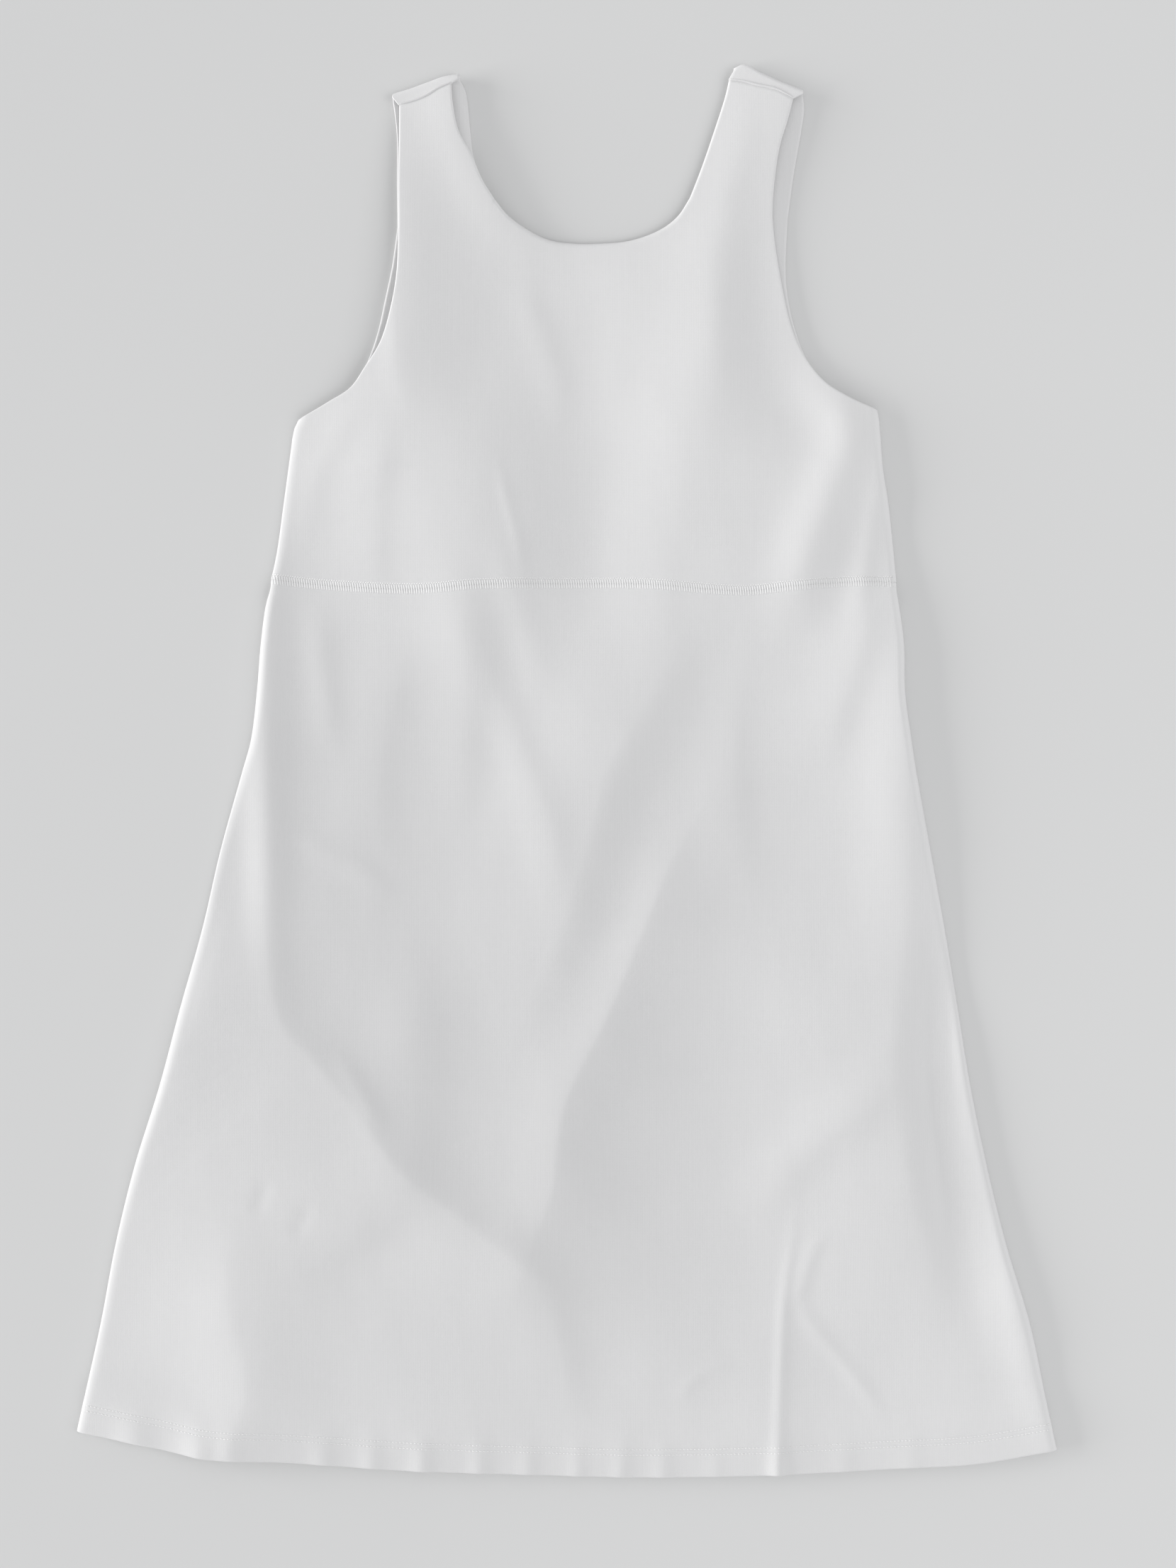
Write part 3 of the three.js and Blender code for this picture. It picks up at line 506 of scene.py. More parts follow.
class Grids:
    """Joined grids of places. A grid that starts on another's edge shares its points there.
    Each one is kept as an array of point numbers, rows up the dress and columns across it."""

    def __init__(self):
        self.points = np.zeros((0, 2))
        self.index = []

    def add(self, places, first_row=None):
        new = places if first_row is None else places[1:]
        index = numbers_for(new, len(self.points))
        self.points = np.vstack([self.points, new.reshape(-1, 2)])
        if first_row is not None:
            index = np.vstack([first_row, index])
        self.index.append(index)
        return index


def quads_of(index):
    """The four corners of every cell of a grid of point numbers."""
    corners = (index[:-1, :-1], index[:-1, 1:], index[1:, 1:], index[1:, :-1])
    return np.stack(corners, -1).reshape(-1, 4)


def skirt_grids(columns, rows):
    """Places of a skirt panel. Its rows run level with the hem at the foot and with the waist above."""
    across = finer_ends(even(columns), SKIRT_WIDTH)
    waist = waist_places(across, -SEAM_JOIN)
    foot = np.array([HEM_EDGE["y"][0], HEM_EDGE["y"][-1]])
    length = waist[0, 1] - foot[0]
    hem = HEM_ROWS / length
    seam = 1 - WAIST_ROWS[::-1] / length
    v = np.r_[hem, np.linspace(hem[-1], seam[0], rows)[1:-1], seam][:, None]
    left = look_up(SKIRT_SIDES, "y", "left", foot[0] + v * (waist[0, 1] - foot[0]))
    right = look_up(SKIRT_SIDES, "y", "right", foot[1] + v * (waist[-1, 1] - foot[1]))
    blend = smooth((v - 1 + WAIST_BLEND) / WAIST_BLEND)
    left = left + blend * (waist[0, 0] - left)
    right = right + blend * (waist[-1, 0] - right)
    x = left + across * (right - left)
    hem_x = HEM_EDGE["x"][0] + across * (HEM_EDGE["x"][-1] - HEM_EDGE["x"][0])
    y = (1 - v) * hem_at(hem_x) + v * waist[:, 1]
    grids = Grids()
    grids.add(np.stack([x, y], -1))
    return grids


def strap_columns(columns):
    """Name, first column, last column and shares across, of the left and the right strap."""
    across, first, last = columns
    for name, start, stop in (("left", 0, first), ("right", last, len(across) - 1)):
        span = across[start:stop + 1]
        yield name, start, stop, (span - span[0]) / (span[-1] - span[0])


def bodice_grids(cut, columns, rows, strap_tops):
    """Places of a bodice: the chest up to the neck, and a strap on each side of it.
    Returns the grids, and the point numbers of the left and the right strap."""
    across, first, last = columns
    bottom = waist_places(across, SEAM_JOIN)
    seam_rows = WAIST_ROWS / SIDE_LENGTH
    side = np.r_[seam_rows, np.linspace(seam_rows[-1], 1, rows["side"])[1:]]
    arm = even(rows["armhole"])[1:]
    along = np.r_[side * UNDERARM_SHARE, UNDERARM_SHARE + arm * (1 - UNDERARM_SHARE)]

    def outer_edge(seam, armhole, corner):
        seam_line = curve_through([corner, *seam[1:]])
        return np.vstack([points_along(seam_line, side), points_along(curve_through(armhole), arm)])

    left = outer_edge(BODICE_LEFT, cut["left_armhole"], bottom[0])
    right = outer_edge(BODICE_RIGHT, cut["right_armhole"], bottom[-1])
    neck = curve_through(cut["neck"])
    top = np.zeros((len(across), 2))
    span = (across - across[first]) / (across[last] - across[first])
    top[first:last + 1] = points_along(neck, span[first:last + 1])
    t = (across[:first] / across[first])[:, None]
    top[:first] = (1 - t) * left[-1] + t * neck[0]
    t = ((across[last + 1:] - across[last]) / (1 - across[last]))[:, None]
    top[last + 1:] = (1 - t) * neck[-1] + t * right[-1]

    grids = Grids()
    chest = grids.add(patch(bottom, top, left, right, across, along))
    straps = []
    share = even(rows["strap"])
    for name, start, stop, steps in strap_columns(columns):
        head = points_along(curve_through(strap_tops[name]), steps)
        outer, inner = cut[f"{name}_outer"], cut[f"{name}_inner"]
        edges = (outer, inner) if name == "left" else (inner, outer)
        edges = [curve_through([*points[:-1], end]) for points, end in zip(edges, (head[0], head[-1]))]
        sides = [points_along(edge, share) for edge in edges]
        places = patch(top[start:stop + 1], head, *sides, steps, share)
        straps.append(grids.add(places, chest[-1, start:stop + 1]))
    return grids, straps


def point_normals(points, quads):
    """Mean of the faces' normals at each point, weighted by their size."""
    diagonals = points[quads[:, 2]] - points[quads[:, 0]], points[quads[:, 3]] - points[quads[:, 1]]
    across = np.cross(*diagonals)
    normals = np.stack([
        sum(np.bincount(quads[:, c], across[:, i], len(points)) for c in range(4)) for i in range(3)], 1)
    return normals / np.maximum(np.linalg.norm(normals, axis=1), TINY)[:, None]


def coarse_cells(index, step):
    """Polygons over a grid of point numbers, a few cells at a time. Along the grid's four sides they
    keep every point, so that they close against the finer edges there."""
    rows, columns = (np.unique(np.r_[np.arange(0, n - 1, step), n - 1]) for n in index.shape)
    polygons = []
    for r0, r1 in zip(rows, rows[1:]):
        for c0, c1 in zip(columns, columns[1:]):
            low = index[r0, c0:c1] if r0 == 0 else index[r0, [c0]]
            right = index[r0:r1, c1] if c1 == columns[-1] else index[[r0], c1]
            high = index[r1, c1:c0:-1] if r1 == rows[-1] else index[r1, [c1]]
            left = index[r1:r0:-1, c0] if c0 == 0 else index[[r1], c0]
            polygons.append(np.concatenate([low, right, high, left]))
    return polygons


def wall_of(points, grids, thickness, floor, bulge):
    """A closed wall of cloth: the outer face, an inner face one thickness behind it that never goes
    under the floor given, and a rim whose middle stands out a little. The inner face has fewer cells."""
    quads = np.vstack([quads_of(grid) for grid in grids])
    normals = point_normals(points, quads)
    inner = points - normals * np.broadcast_to(thickness, len(points))[:, None]
    inner[:, 2] = np.maximum(inner[:, 2], floor)
    edges = np.concatenate([quads[:, [i, (i + 1) % 4]] for i in range(4)])
    both = np.sort(edges, 1)
    number = both[:, 0] * len(points) + both[:, 1]
    _, where, count = np.unique(number, return_index=True, return_counts=True)
    rim = edges[where[count == 1]]
    direction = points[rim[:, 1]] - points[rim[:, 0]]
    out = np.cross(direction, normals[rim[:, 0]])
    out /= np.linalg.norm(out, axis=1)[:, None]
    outward = np.zeros_like(points)
    np.add.at(outward, rim[:, 0], out)
    np.add.at(outward, rim[:, 1], out)
    used = np.unique(rim)
    outward = outward[used] / np.linalg.norm(outward[used], axis=1)[:, None]
    stands = np.broadcast_to(bulge, len(points))[used][:, None]
    middle = 0.5 * (points[used] + inner[used]) + stands * outward
    total = len(points)
    mid_of = np.zeros(total, int)
    mid_of[used] = 2 * total + np.arange(len(used))
    start, end = rim.T
    upper_rim = np.stack([end, start, mid_of[start], mid_of[end]], 1)
    lower_rim = np.stack([mid_of[end], mid_of[start], start + total, end + total], 1)
    behind = [cell[::-1] + total for grid in grids for cell in coarse_cells(grid, INNER_STEP)]
    everything = np.vstack([points, inner, middle])
    source = np.r_[np.arange(total), np.arange(total), used]
    polygons = [*quads, *upper_rim, *lower_rim, *behind]
    kept, places = np.unique(np.concatenate(polygons), return_inverse=True)
    sizes = np.array([len(polygon) for polygon in polygons])
    return everything[kept], (places, sizes), source[kept]


def add_object(name, data):
    made = bpy.data.objects.new(name, data)
    bpy.context.scene.collection.objects.link(made)
    return made


def mesh_piece(name, points, faces, cut_places, material):
    """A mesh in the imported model's frame. Faces are the point numbers of all corners in turn, and how
    many corners each face has. The UV map holds each point's place on the flat cut, in metres."""
    corners, sizes = faces
    mesh = bpy.data.meshes.new(name)
    mesh.vertices.add(len(points))
    mesh.vertices.foreach_set("co", ((points + SHIFT) * MM).ravel())
    mesh.loops.add(len(corners))
    mesh.loops.foreach_set("vertex_index", corners.astype(np.int32))
    mesh.polygons.add(len(sizes))
    starts = np.r_[0, np.cumsum(sizes)[:-1]]
    mesh.polygons.foreach_set("loop_start", starts.astype(np.int32))
    mesh.polygons.foreach_set("use_smooth", np.ones(len(sizes), bool))
    mesh.update(calc_edges=True)
    layer = mesh.uv_layers.new(name="cut")
    layer.data.foreach_set("uv", (cut_places[corners] * MM).ravel())
    mesh.materials.append(material)
    piece = add_object(name, mesh)
    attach(piece, "root")
    return piece


TUBE_SPREAD = 0.2           # how far a tube's UV goes across for each radian round it


def tubes(name, paths, radius, material, sides=6):
    """Closed tubes along many paths at once: a ring of points round every path point, and two caps.
    The rings stand across each path's level direction. The UV goes along the path and round it."""
    count, steps = paths.shape[:2]
    along = np.gradient(paths, axis=1)
    along /= np.linalg.norm(along, axis=2)[..., None]
    level = np.cross(along, (0, 0, 1.0))
    level /= np.linalg.norm(level, axis=2)[..., None]
    up = np.cross(level, along)
    angle = 2 * np.pi * np.arange(sides) / sides
    radius = np.broadcast_to(radius, (count, steps, 2))
    ring = (level[:, :, None] * np.cos(angle)[:, None] * radius[:, :, None, :1]
            + up[:, :, None] * np.sin(angle)[:, None] * radius[:, :, None, 1:])
    points = (paths[:, :, None] + ring).reshape(-1, 3)
    index = np.arange(len(points)).reshape(count, steps, sides)
    turned = np.roll(index, -1, axis=2)
    walls = np.stack([index[:, :-1], index[:, 1:], turned[:, 1:], turned[:, :-1]], -1).reshape(-1, 4)
    half = sides // 2
    caps = []
    for end, order in ((index[:, 0], 1), (index[:, -1], -1)):
        for k in range(half - 1):
            quad = np.stack([end[:, k], end[:, k + 1], end[:, sides - 2 - k], end[:, sides - 1 - k]], -1)
            caps.append(quad[:, ::order])
    run = np.linalg.norm(np.diff(paths, axis=1), axis=2).cumsum(1)
    run = np.concatenate([np.zeros((count, 1)), run], 1)
    places = np.stack(np.broadcast_arrays(run[:, :, None], angle * TUBE_SPREAD), -1).reshape(-1, 2)
    quads = np.vstack([walls, *caps])
    return mesh_piece(name, points, (quads.ravel(), np.full(len(quads), 4)), places, material)


class Finish:
    """A small helper that wires a node material from Python expressions."""

    def __init__(self, name):
        self.material = bpy.data.materials.new(name)
        self.material.use_nodes = True
        self.tree = self.material.node_tree
        self.shader = self.tree.nodes["Principled BSDF"]

    def node(self, kind, inputs=None, **settings):
        made = self.tree.nodes.new(kind)
        for key, value in settings.items():
            setattr(made, key, value)
        for key, value in (inputs or {}).items():
            if isinstance(value, bpy.types.NodeSocket):
                self.tree.links.new(value, made.inputs[key])
            else:
                made.inputs[key].default_value = value
        return made

    def math(self, operation, a, b=0.0, c=0.0):
        inputs = {0: a, 1: b, 2: c} if operation == "MULTIPLY_ADD" else {0: a, 1: b}
        return self.node("ShaderNodeMath", inputs, operation=operation).outputs[0]

    def link(self, socket, name):
        self.tree.links.new(socket, self.shader.inputs[name])

    def colour_between(self, factor, low, high):
        ramp = self.node("ShaderNodeValToRGB", {"Fac": factor})
        for element, colour in zip(ramp.color_ramp.elements, (low, high)):
            element.color = colour
        self.link(ramp.outputs["Color"], "Base Color")

    def set(self, **values):
        for name, value in values.items():
            self.shader.inputs[name.replace("_", " ")].default_value = value


KNIT_WHITE = (0.814, 0.812, 0.811, 1)
KNIT_SHADE = (0.646, 0.645, 0.647, 1)
WALE_PITCH, COURSE_PITCH = 0.00075, 0.0006     # columns and rows of the knit's loops, in metres
COLUMN_FALL = 3.6           # a column falls by so many times the square of the way from its middle
LEG_CLIMB = 1.1             # rows that a loop's leg climbs over the width of a column
LOOP_RELIEF, NAP_RELIEF = 0.28, 0.9
# Shares of the darker colour in the tone: cloudy and streaky tone of the cloth, painted shade between the
# knit's columns, and painted shade in the large oval
CLOUD_TONE, STREAK_TONE, GROOVE_PAINTED_SHADE, PAINTED_SHADE_TONE = 0.26, 0.17, 0.10, 0.5
KNIT_ROUGHNESS, NAP_ROUGHNESS = 0.74, 0.14
# Painted shade: one large slanting oval in the middle of the skirt is drawn darker, as shade.
SHADE_OVAL_MIDDLE = (-0.06, -0.14)            # middle of the oval of painted shade on the cut, in metres
SHADE_OVAL_DIRECTION = (0.62, -0.78)          # of its length
SHADE_OVAL_LENGTH, SHADE_OVAL_WIDTH = 0.30, 0.20    # from its middle to where the painted shade is half as dark
# Thread colours: painted shade in the twist's grooves and painted light on its crests
THREAD_PAINTED_SHADE, THREAD_PAINTED_LIGHT = (0.79, 0.79, 0.79, 1), (0.85, 0.848, 0.84, 1)
TWIST_PITCH = 0.0007        # one turn of the thread, in metres
FLOOR_SHADE, FLOOR_LIGHT = (0.700, 0.702, 0.698, 1), (0.720, 0.722, 0.718, 1)


def colour_socket(sockets, name):
    """The colour socket among a mix node's sockets of the same name."""
    return next(socket for socket in sockets if socket.name == name and socket.type == "RGBA")


def white_knit():
    """Double knit: upright columns of V-shaped loops in the cloth's own UV, with a soft nap over them.
    Its tone is cloudy and a little streaky. It is darker between the columns, painted shade in the knit's
    grooves, and in one large slanting oval, painted shade in the middle of the skirt."""
    f = Finish("white_knit")
    uv = f.node("ShaderNodeUVMap", uv_map="cut").outputs["UV"]
    place = f.node("ShaderNodeSeparateXYZ", {0: uv})
    column = f.math("MULTIPLY", place.outputs["X"], 1 / WALE_PITCH)
    across = f.math("SUBTRACT", f.math("FRACT", column), 0.5)
    away = f.math("ABSOLUTE", across)
    ridge = f.math("MULTIPLY_ADD", f.math("POWER", away, 2.0), -COLUMN_FALL, 1.0)
    row = f.math("MULTIPLY", place.outputs["Y"], 1 / COURSE_PITCH)
    slanted = f.math("MULTIPLY_ADD", away, LEG_CLIMB, row)
    loop = f.math("SINE", f.math("MULTIPLY", slanted, 2 * np.pi))
    height = f.math("MULTIPLY_ADD", loop, LOOP_RELIEF, ridge)
    nap = f.node("ShaderNodeTexNoise", {"Vector": uv, "Scale": 2600.0, "Detail": 3.0, "Roughness": 0.6})
    height = f.math("MULTIPLY_ADD", nap.outputs["Fac"], NAP_RELIEF, height)
    bump = f.node("ShaderNodeBump", {"Height": height, "Strength": 0.35, "Distance": 0.00012})
    f.link(bump.outputs["Normal"], "Normal")
    cloudy = f.node("ShaderNodeTexNoise", {"Vector": uv, "Scale": 14.0, "Detail": 4.0, "Roughness": 0.55})
    streak_place = f.node("ShaderNodeMapping", {"Vector": uv, "Scale": (1400.0, 30.0, 1.0)})
    streaks = f.node("ShaderNodeTexNoise", {"Vector": streak_place.outputs[0], "Scale": 1.0, "Detail": 2.0})
    tone = f.math("MULTIPLY", cloudy.outputs["Fac"], CLOUD_TONE)
    tone = f.math("MULTIPLY_ADD", streaks.outputs["Fac"], STREAK_TONE, tone)
    # Painted shade: the knit is drawn darker between its columns, where its relief falls away.
    tone = f.math("MULTIPLY_ADD", f.math("SUBTRACT", 1.0, ridge), GROOVE_PAINTED_SHADE, tone)
    # Painted shade: the tone is darker in one large slanting oval in the middle of the skirt.
    right, up = (f.math("SUBTRACT", place.outputs[axis], middle) for axis, middle in zip("XY", SHADE_OVAL_MIDDLE))
    lean_x, lean_y = SHADE_OVAL_DIRECTION
    squares = []
    for share_x, share_y, reach in ((lean_x, lean_y, SHADE_OVAL_LENGTH), (-lean_y, lean_x, SHADE_OVAL_WIDTH)):
        part = f.math("MULTIPLY_ADD", right, share_x / reach, f.math("MULTIPLY", up, share_y / reach))
        squares.append(f.math("MULTIPLY", part, part))
    painted_shade_oval = f.math("POWER", 0.5, f.math("ADD", *squares))
    tone = f.math("MULTIPLY_ADD", painted_shade_oval, PAINTED_SHADE_TONE, tone)
    colour = f.node("ShaderNodeMix", {"Factor": tone}, data_type="RGBA")
    colour_socket(colour.inputs, "A").default_value = KNIT_WHITE
    colour_socket(colour.inputs, "B").default_value = KNIT_SHADE
    f.link(colour_socket(colour.outputs, "Result"), "Base Color")
    rough = f.math("MULTIPLY_ADD", nap.outputs["Fac"], NAP_ROUGHNESS, KNIT_ROUGHNESS)
    f.link(rough, "Roughness")
    f.set(Sheen_Weight=0.18, Sheen_Roughness=0.42, IOR=1.45, Specular_IOR_Level=0.3)
    return f.material


def sewing_thread():
    """Spun polyester thread: a fine twist that runs round each stitch along its own UV. Its colour is
    painted shade in the twist's grooves and painted light on its crests.
    """
    f = Finish("sewing_thread")
    uv = f.node("ShaderNodeUVMap", uv_map="cut").outputs["UV"]
    place = f.node("ShaderNodeSeparateXYZ", {0: uv})
    turned = f.math("MULTIPLY", place.outputs["Y"], 1 / (TUBE_SPREAD * MM))
    slant = f.math("MULTIPLY_ADD", place.outputs["X"], 2 * np.pi / TWIST_PITCH, turned)
    twist = f.math("SINE", slant)
    bump = f.node("ShaderNodeBump", {"Height": twist, "Strength": 0.15, "Distance": 0.00003})
    f.link(bump.outputs["Normal"], "Normal")
    # Painted shade and light: the colour follows the twist, darker in its grooves and lighter on its
    # crests.
    f.colour_between(f.math("MULTIPLY_ADD", twist, 0.5, 0.5), THREAD_PAINTED_SHADE, THREAD_PAINTED_LIGHT)
    f.set(Roughness=0.5, Sheen_Weight=0.1)
    return f.material


def plain_floor():
    """Pale matt studio floor, with the slightest unevenness in its tone."""
    f = Finish("plain_floor")
    where = f.node("ShaderNodeTexCoord").outputs["Object"]
    noise = f.node("ShaderNodeTexNoise", {"Vector": where, "Scale": 3.0, "Detail": 2.0})
    f.colour_between(noise.outputs["Fac"], FLOOR_SHADE, FLOOR_LIGHT)
    f.set(Roughness=0.9, Specular_IOR_Level=0.1)
    return f.material


# The drawing's own axes are moved so that the skirt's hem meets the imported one
box_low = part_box("front_skirt")[0]
corner_x = float(look_up(SKIRT_SIDES, "y", "left", HEM_EDGE["y"][0]))
SHIFT = np.array([box_low[0] / MM - corner_x, CAD_BOX[0][1] / MM - HEM_EDGE["y"].min(), 0.0])

KNIT = white_knit()
THREAD = sewing_thread()


def cloth(name, points, grids, thickness, floor, places):
    """One cut piece of knit as a closed wall that stands for its solid. Its rims stand out a little,
    but for those of the waist seam, where two pieces meet."""
    x, y = points[:, :2].T
    bulge = EDGE_BULGE * (abs(y - waist_at(x)) > 2 * SEAM_JOIN)
    everything, faces, source = wall_of(points, grids, thickness, floor, bulge)
    piece = mesh_piece(f"{name}_cloth", everything, faces, places[source], KNIT)
    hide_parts(name)
    return piece


def curl_at(x, y, lines):
    """How far a turned cut edge drops: a quarter round in the last bit before the edge."""
    near = np.minimum.reduce([nearest_on(line, x, y)[0] for line in lines])
    inside = 1 - np.clip(near / EDGE_CURL, 0, 1)
    return EDGE_CURL * (1 - np.sqrt(np.maximum(1 - inside**2, 0)))


def cut_lines(cut):
    """Every cut edge of a bodice as a curve."""
    return [curve_through(points, samples=12) for points in cut.values()]


def front_skirt():
    """The skirt's grid at the height of the front, curled down along the hem's edge."""
    grids = skirt_grids(*FRONT_SKIRT_CELLS)
    x, y = grids.points.T
    hem = np.stack([HEM_EDGE["x"], HEM_EDGE["y"]], 1)
    z = front_height(x, y) - curl_at(x, y, [curve_through(hem, samples=20)])
    thickness = skirt_wall(x, y)
    points = np.stack([x, y, z], 1)
    return cloth("front_skirt", points, grids.index, thickness, thickness + SEAM_GAP, grids.points)


def front_bodice():
    """A bodice's grid at the height of the front, curled down along every cut edge."""
    lowered = {name: np.array(seam) - (0, SEAM_GAP / 2) for name, seam in SHOULDER_SEAM.items()}
    grids, _ = bodice_grids(FRONT_CUT, columns_of(*FRONT_COLUMNS), FRONT_ROWS, lowered)
    x, y = grids.points.T
    z = front_height(x, y) - curl_at(x, y, cut_lines(FRONT_CUT))
    points = np.stack([x, y, z], 1)
    return cloth("front_bodice", points, grids.index, WALL, WALL + SEAM_GAP, grids.points)


def back_lift(x, y):
    """Soft creases of the back where it rises a little off the surface under it."""
    inside = smooth((np.minimum(*side_distances(x, y)) - FLAT_SIDE) / SIDE_BLEND)
    rows = zip(*BACK_WAVES.values())
    first, second, third = (np.sin(x / across + y / along + phase) for across, along, phase in rows)
    waves = BROAD_SHARE * first * second + NARROW_SHARE * third
    return inside * np.clip(waves, 0, None) * BACK_LIFT


def back_skirt():
    """The back skirt lies flat, and rises only in its creases and where the sewing draws it in."""
    grids = skirt_grids(*BACK_SKIRT_CELLS)
    x, y = grids.points.T
    z = back_lift(x, y) * smooth((y - hem_at(x) - FLAT_HEM) / HEM_BLEND) - seam_marks(x, y)
    thickness = skirt_wall(x, y)
    points = np.stack([x, y, z], 1)
    turned = [index[:, ::-1] for index in grids.index]
    return cloth("back_skirt", points, turned, thickness, 0.0, grids.points)


def back_bodice():
    """The back lies flat. Its straps bend over at the shoulder, as high as the front strap that they
    meet, and come forward to the seam."""
    columns = columns_of(*BACK_COLUMNS)
    tops = {}
    for name, bend in SHOULDER_BEND.items():
        on_seam = points_along(curve_through(SHOULDER_SEAM[name]), even(SHOULDER_STEPS))
        tops[name] = points_along(curve_through(bend), even(SHOULDER_STEPS))
        tops[name][:, 1] -= front_height(*on_seam.T) / 2
    grids, straps = bodice_grids(BACK_CUT, columns, BACK_ROWS, tops)
    x, y = grids.points.T
    z = back_lift(x, y) * smooth((FLAT_CHEST - y) / CHEST_BLEND) - seam_marks(x, y)
    points = np.stack([x, y, z], 1)
    turned = [index[:, ::-1] for index in grids.index]
    places = grids.points
    for (name, _, _, share), index in zip(strap_columns(columns), straps):
        start = points[index[-1]]
        on_seam = points_along(curve_through(SHOULDER_SEAM[name]), share)
        radius = front_height(*on_seam.T) / 2
        angle = np.pi * (even(BEND_ROWS)[1:, None] - 0.5)
        bend = np.stack(np.broadcast_arrays(
            start[:, 0], start[:, 1] + radius * np.cos(angle), radius * (1 + np.sin(angle))), -1)
        t = even(FORWARD_ROWS)[1:, None, None]
        end = np.stack([on_seam[:, 0], on_seam[:, 1] + SEAM_GAP / 2, 2 * radius], 1)
        forward = (1 - t) * bend[-1] + t * end
        rows = np.vstack([bend, forward])
        index = np.vstack([index[-1], numbers_for(rows, len(points))])
        points = np.vstack([points, rows.reshape(-1, 3)])
        run = np.linalg.norm(np.diff(np.vstack([start[None], rows]), axis=0), axis=2).cumsum(0)
        on_cut = np.stack(np.broadcast_arrays(start[:, 0], start[:, 1] + run), -1)
        places = np.vstack([places, on_cut.reshape(-1, 2)])
        turned.append(index[:, ::-1])
    return cloth("back_bodice", points, turned, WALL, 0.0, places)


def stitches(starts, ends, height_at, rise, dip):
    """Paths of single stitches: each runs straight from start to end, arched over the cloth."""
    t = even(STITCH_STEPS)[None, :, None]
    level = (1 - t) * starts[:, None] + t * ends[:, None]
    arch = np.sin(np.pi * t[..., 0])
    z = height_at(level[..., 0], level[..., 1]) + rise * arch - dip * (1 - arch)
    return np.concatenate([level, z[..., None]], 2)


def waist_ladder(name, height_at):
    """Flat seam of the waist: a ladder of short flat bars across it that all lean the same way, and
    along its upper side a small loop between each two of them."""
    x = np.arange(WAIST_LEFT + LADDER_LEFT, WAIST_RIGHT - LADDER_RIGHT, LADDER_PITCH)
    y = waist_at(x)
    lean = BAR_LEAN + LEAN_CHANGE * np.sin(x * LEAN_WAVE)
    reach = LADDER_REACH + REACH_CHANGE * np.sin(x * REACH_WAVE)
    bars = stitches(np.stack([x + lean, y - reach], 1), np.stack([x - lean, y + reach], 1), height_at,
                    rise=0.1, dip=0.08)
    this_bar = np.stack([x, y + LADDER_REACH], 1)
    next_bar = this_bar + (LADDER_PITCH, 0)
    loops = stitches(this_bar + LOOP_START, next_bar + LOOP_END, height_at, rise=0.06, dip=0.1)
    return tubes(name, np.vstack([bars, loops]), (BAR_WIDTH, BAR_HEIGHT), THREAD)


def hem_stitching(name, height_at, rise, dip):
    """Two rows of stitches, end to end, a fixed way above the hem's edge."""
    x = np.arange(HEM_EDGE["x"][0] + STITCHING_END, HEM_EDGE["x"][-1] - STITCHING_END, STITCH_PITCH)
    starts, ends = [], []
    for row in STITCH_ROWS:
        for side, group in ((0, starts), (STITCH_PITCH - STITCH_GAP, ends)):
            group.append(np.stack([x + side, hem_at(x + side) + row], 1))
    paths = stitches(np.vstack(starts), np.vstack(ends), height_at, rise, dip)
    return tubes(name, paths, (STITCH_WIDTH, STITCH_HEIGHT), THREAD)


def shoulder_lip(name):
    """The seam allowance under a shoulder seam, showing as a thin raised lip along it."""
    shares = np.linspace(LIP_END, 1 - LIP_END, LIP_STEPS)
    x, y = points_along(curve_through(SHOULDER_SEAM[name]), shares).T
    path = np.stack([x, y + LIP_UP, front_height(x, y) - LIP_SINK], 1)[None]
    swell = np.sin(np.pi * np.linspace(LIP_POINT, 1 - LIP_POINT, LIP_STEPS)) ** LIP_SWELL
    radius = np.stack([LIP_WIDTH * swell, LIP_HEIGHT * swell], 1)[None]
    return tubes(f"shoulder_lip_{name}", path, radius, KNIT, sides=12)


def underside(x, y):
    """Height of the threads under the dress, in the valleys that they draw there."""
    return np.full(x.shape, STITCH_HEIGHT + THREAD_CLEARANCE)


def build_dress():
    """The four cut pieces and their sewing."""
    front = {"bodice": front_bodice(), "skirt": front_skirt()}
    back = {"bodice": back_bodice(), "skirt": back_skirt()}
    sewing = {
        "front_waist": waist_ladder("front_waist_ladder", front_height),
        "back_waist": waist_ladder("back_waist_ladder", underside),
        "front_hem": hem_stitching("front_hem_stitching", front_height, rise=0.16, dip=0.06),
        "back_hem": hem_stitching("back_hem_stitching", underside, rise=0.0, dip=0.0),
        "left_lip": shoulder_lip("left"),
        "right_lip": shoulder_lip("right"),
    }


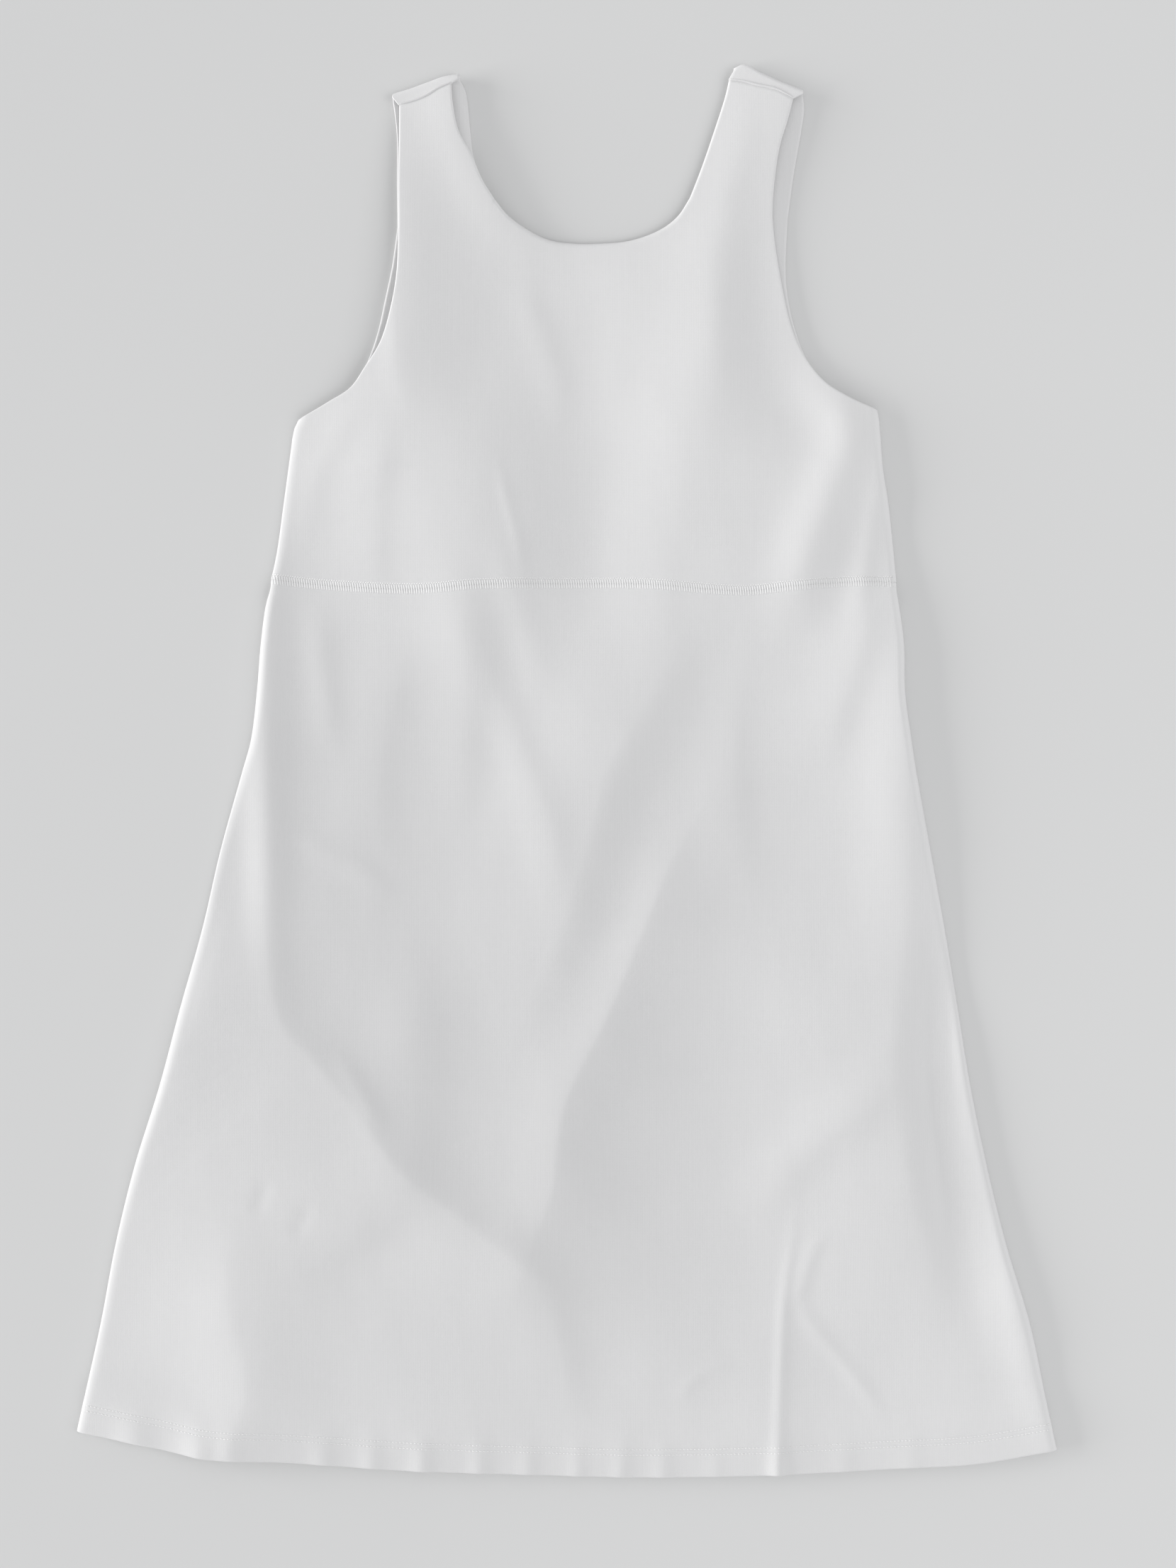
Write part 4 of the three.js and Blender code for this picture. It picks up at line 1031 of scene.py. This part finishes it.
def build_floor():
    """A plain pale floor just under the dress."""
    size, drop = 6.0, 0.0004
    mesh = bpy.data.meshes.new("floor")
    corners = [(-size, -size, -drop), (size, -size, -drop), (size, size, -drop), (-size, size, -drop)]
    mesh.from_pydata(corners, [], [(0, 1, 2, 3)])
    mesh.materials.append(plain_floor())
    floor = add_object("floor", mesh)


# Camera: straight above. The picture is 995.4 mm tall, and its middle lies a little off the dress's.
VIEW_HEIGHT = 0.9954
VIEW_MIDDLE = (14.0, -8.1)
CAMERA_DISTANCE = 1.4
SENSOR = 36.0


def build_camera():
    """A camera straight above, whose lens takes in just the picture's height."""
    camera = bpy.data.cameras.new("camera")
    camera.sensor_width = SENSOR
    camera.lens = SENSOR * CAMERA_DISTANCE / VIEW_HEIGHT
    camera.clip_end = 50
    holder = add_object("camera", camera)
    holder.location = (*((VIEW_MIDDLE[i] + SHIFT[i]) * MM for i in (0, 1)), CAMERA_DISTANCE)
    bpy.context.scene.camera = holder


def soft_light(name, place, target, size, power, colour):
    """A large soft area lamp that faces its target."""
    lamp = bpy.data.lights.new(name, "AREA")
    lamp.shape = "RECTANGLE"
    lamp.size, lamp.size_y = size
    lamp.energy = power
    lamp.color = colour
    holder = add_object(name, lamp)
    holder.location = place
    aim = Vector(target) - Vector(place)
    holder.rotation_euler = aim.to_track_quat("-Z", "Y").to_euler()


def build_light():
    """A wide low window to the left, a weak lamp to the right and the pale light of the room."""
    soft_light("window", place=(-11.0, 0.4, 1.75), target=(0.1, 0, 0), size=(8.0, 3.2), power=1260,
               colour=(1.0, 0.995, 0.99))
    soft_light("room", place=(3.0, -0.6, 2.8), target=(0, 0, 0), size=(3.0, 3.0), power=54,
               colour=(1.0, 1.0, 1.0))
    world = bpy.data.worlds.new("studio")
    world.use_nodes = True
    sky = world.node_tree.nodes["Background"].inputs
    sky["Color"].default_value = (0.98, 0.985, 1.0, 1)
    sky["Strength"].default_value = 0.61
    bpy.context.scene.world = world
    bpy.context.scene.view_settings.view_transform = "Standard"


build_camera()
build_light()
build_floor()
build_dress()
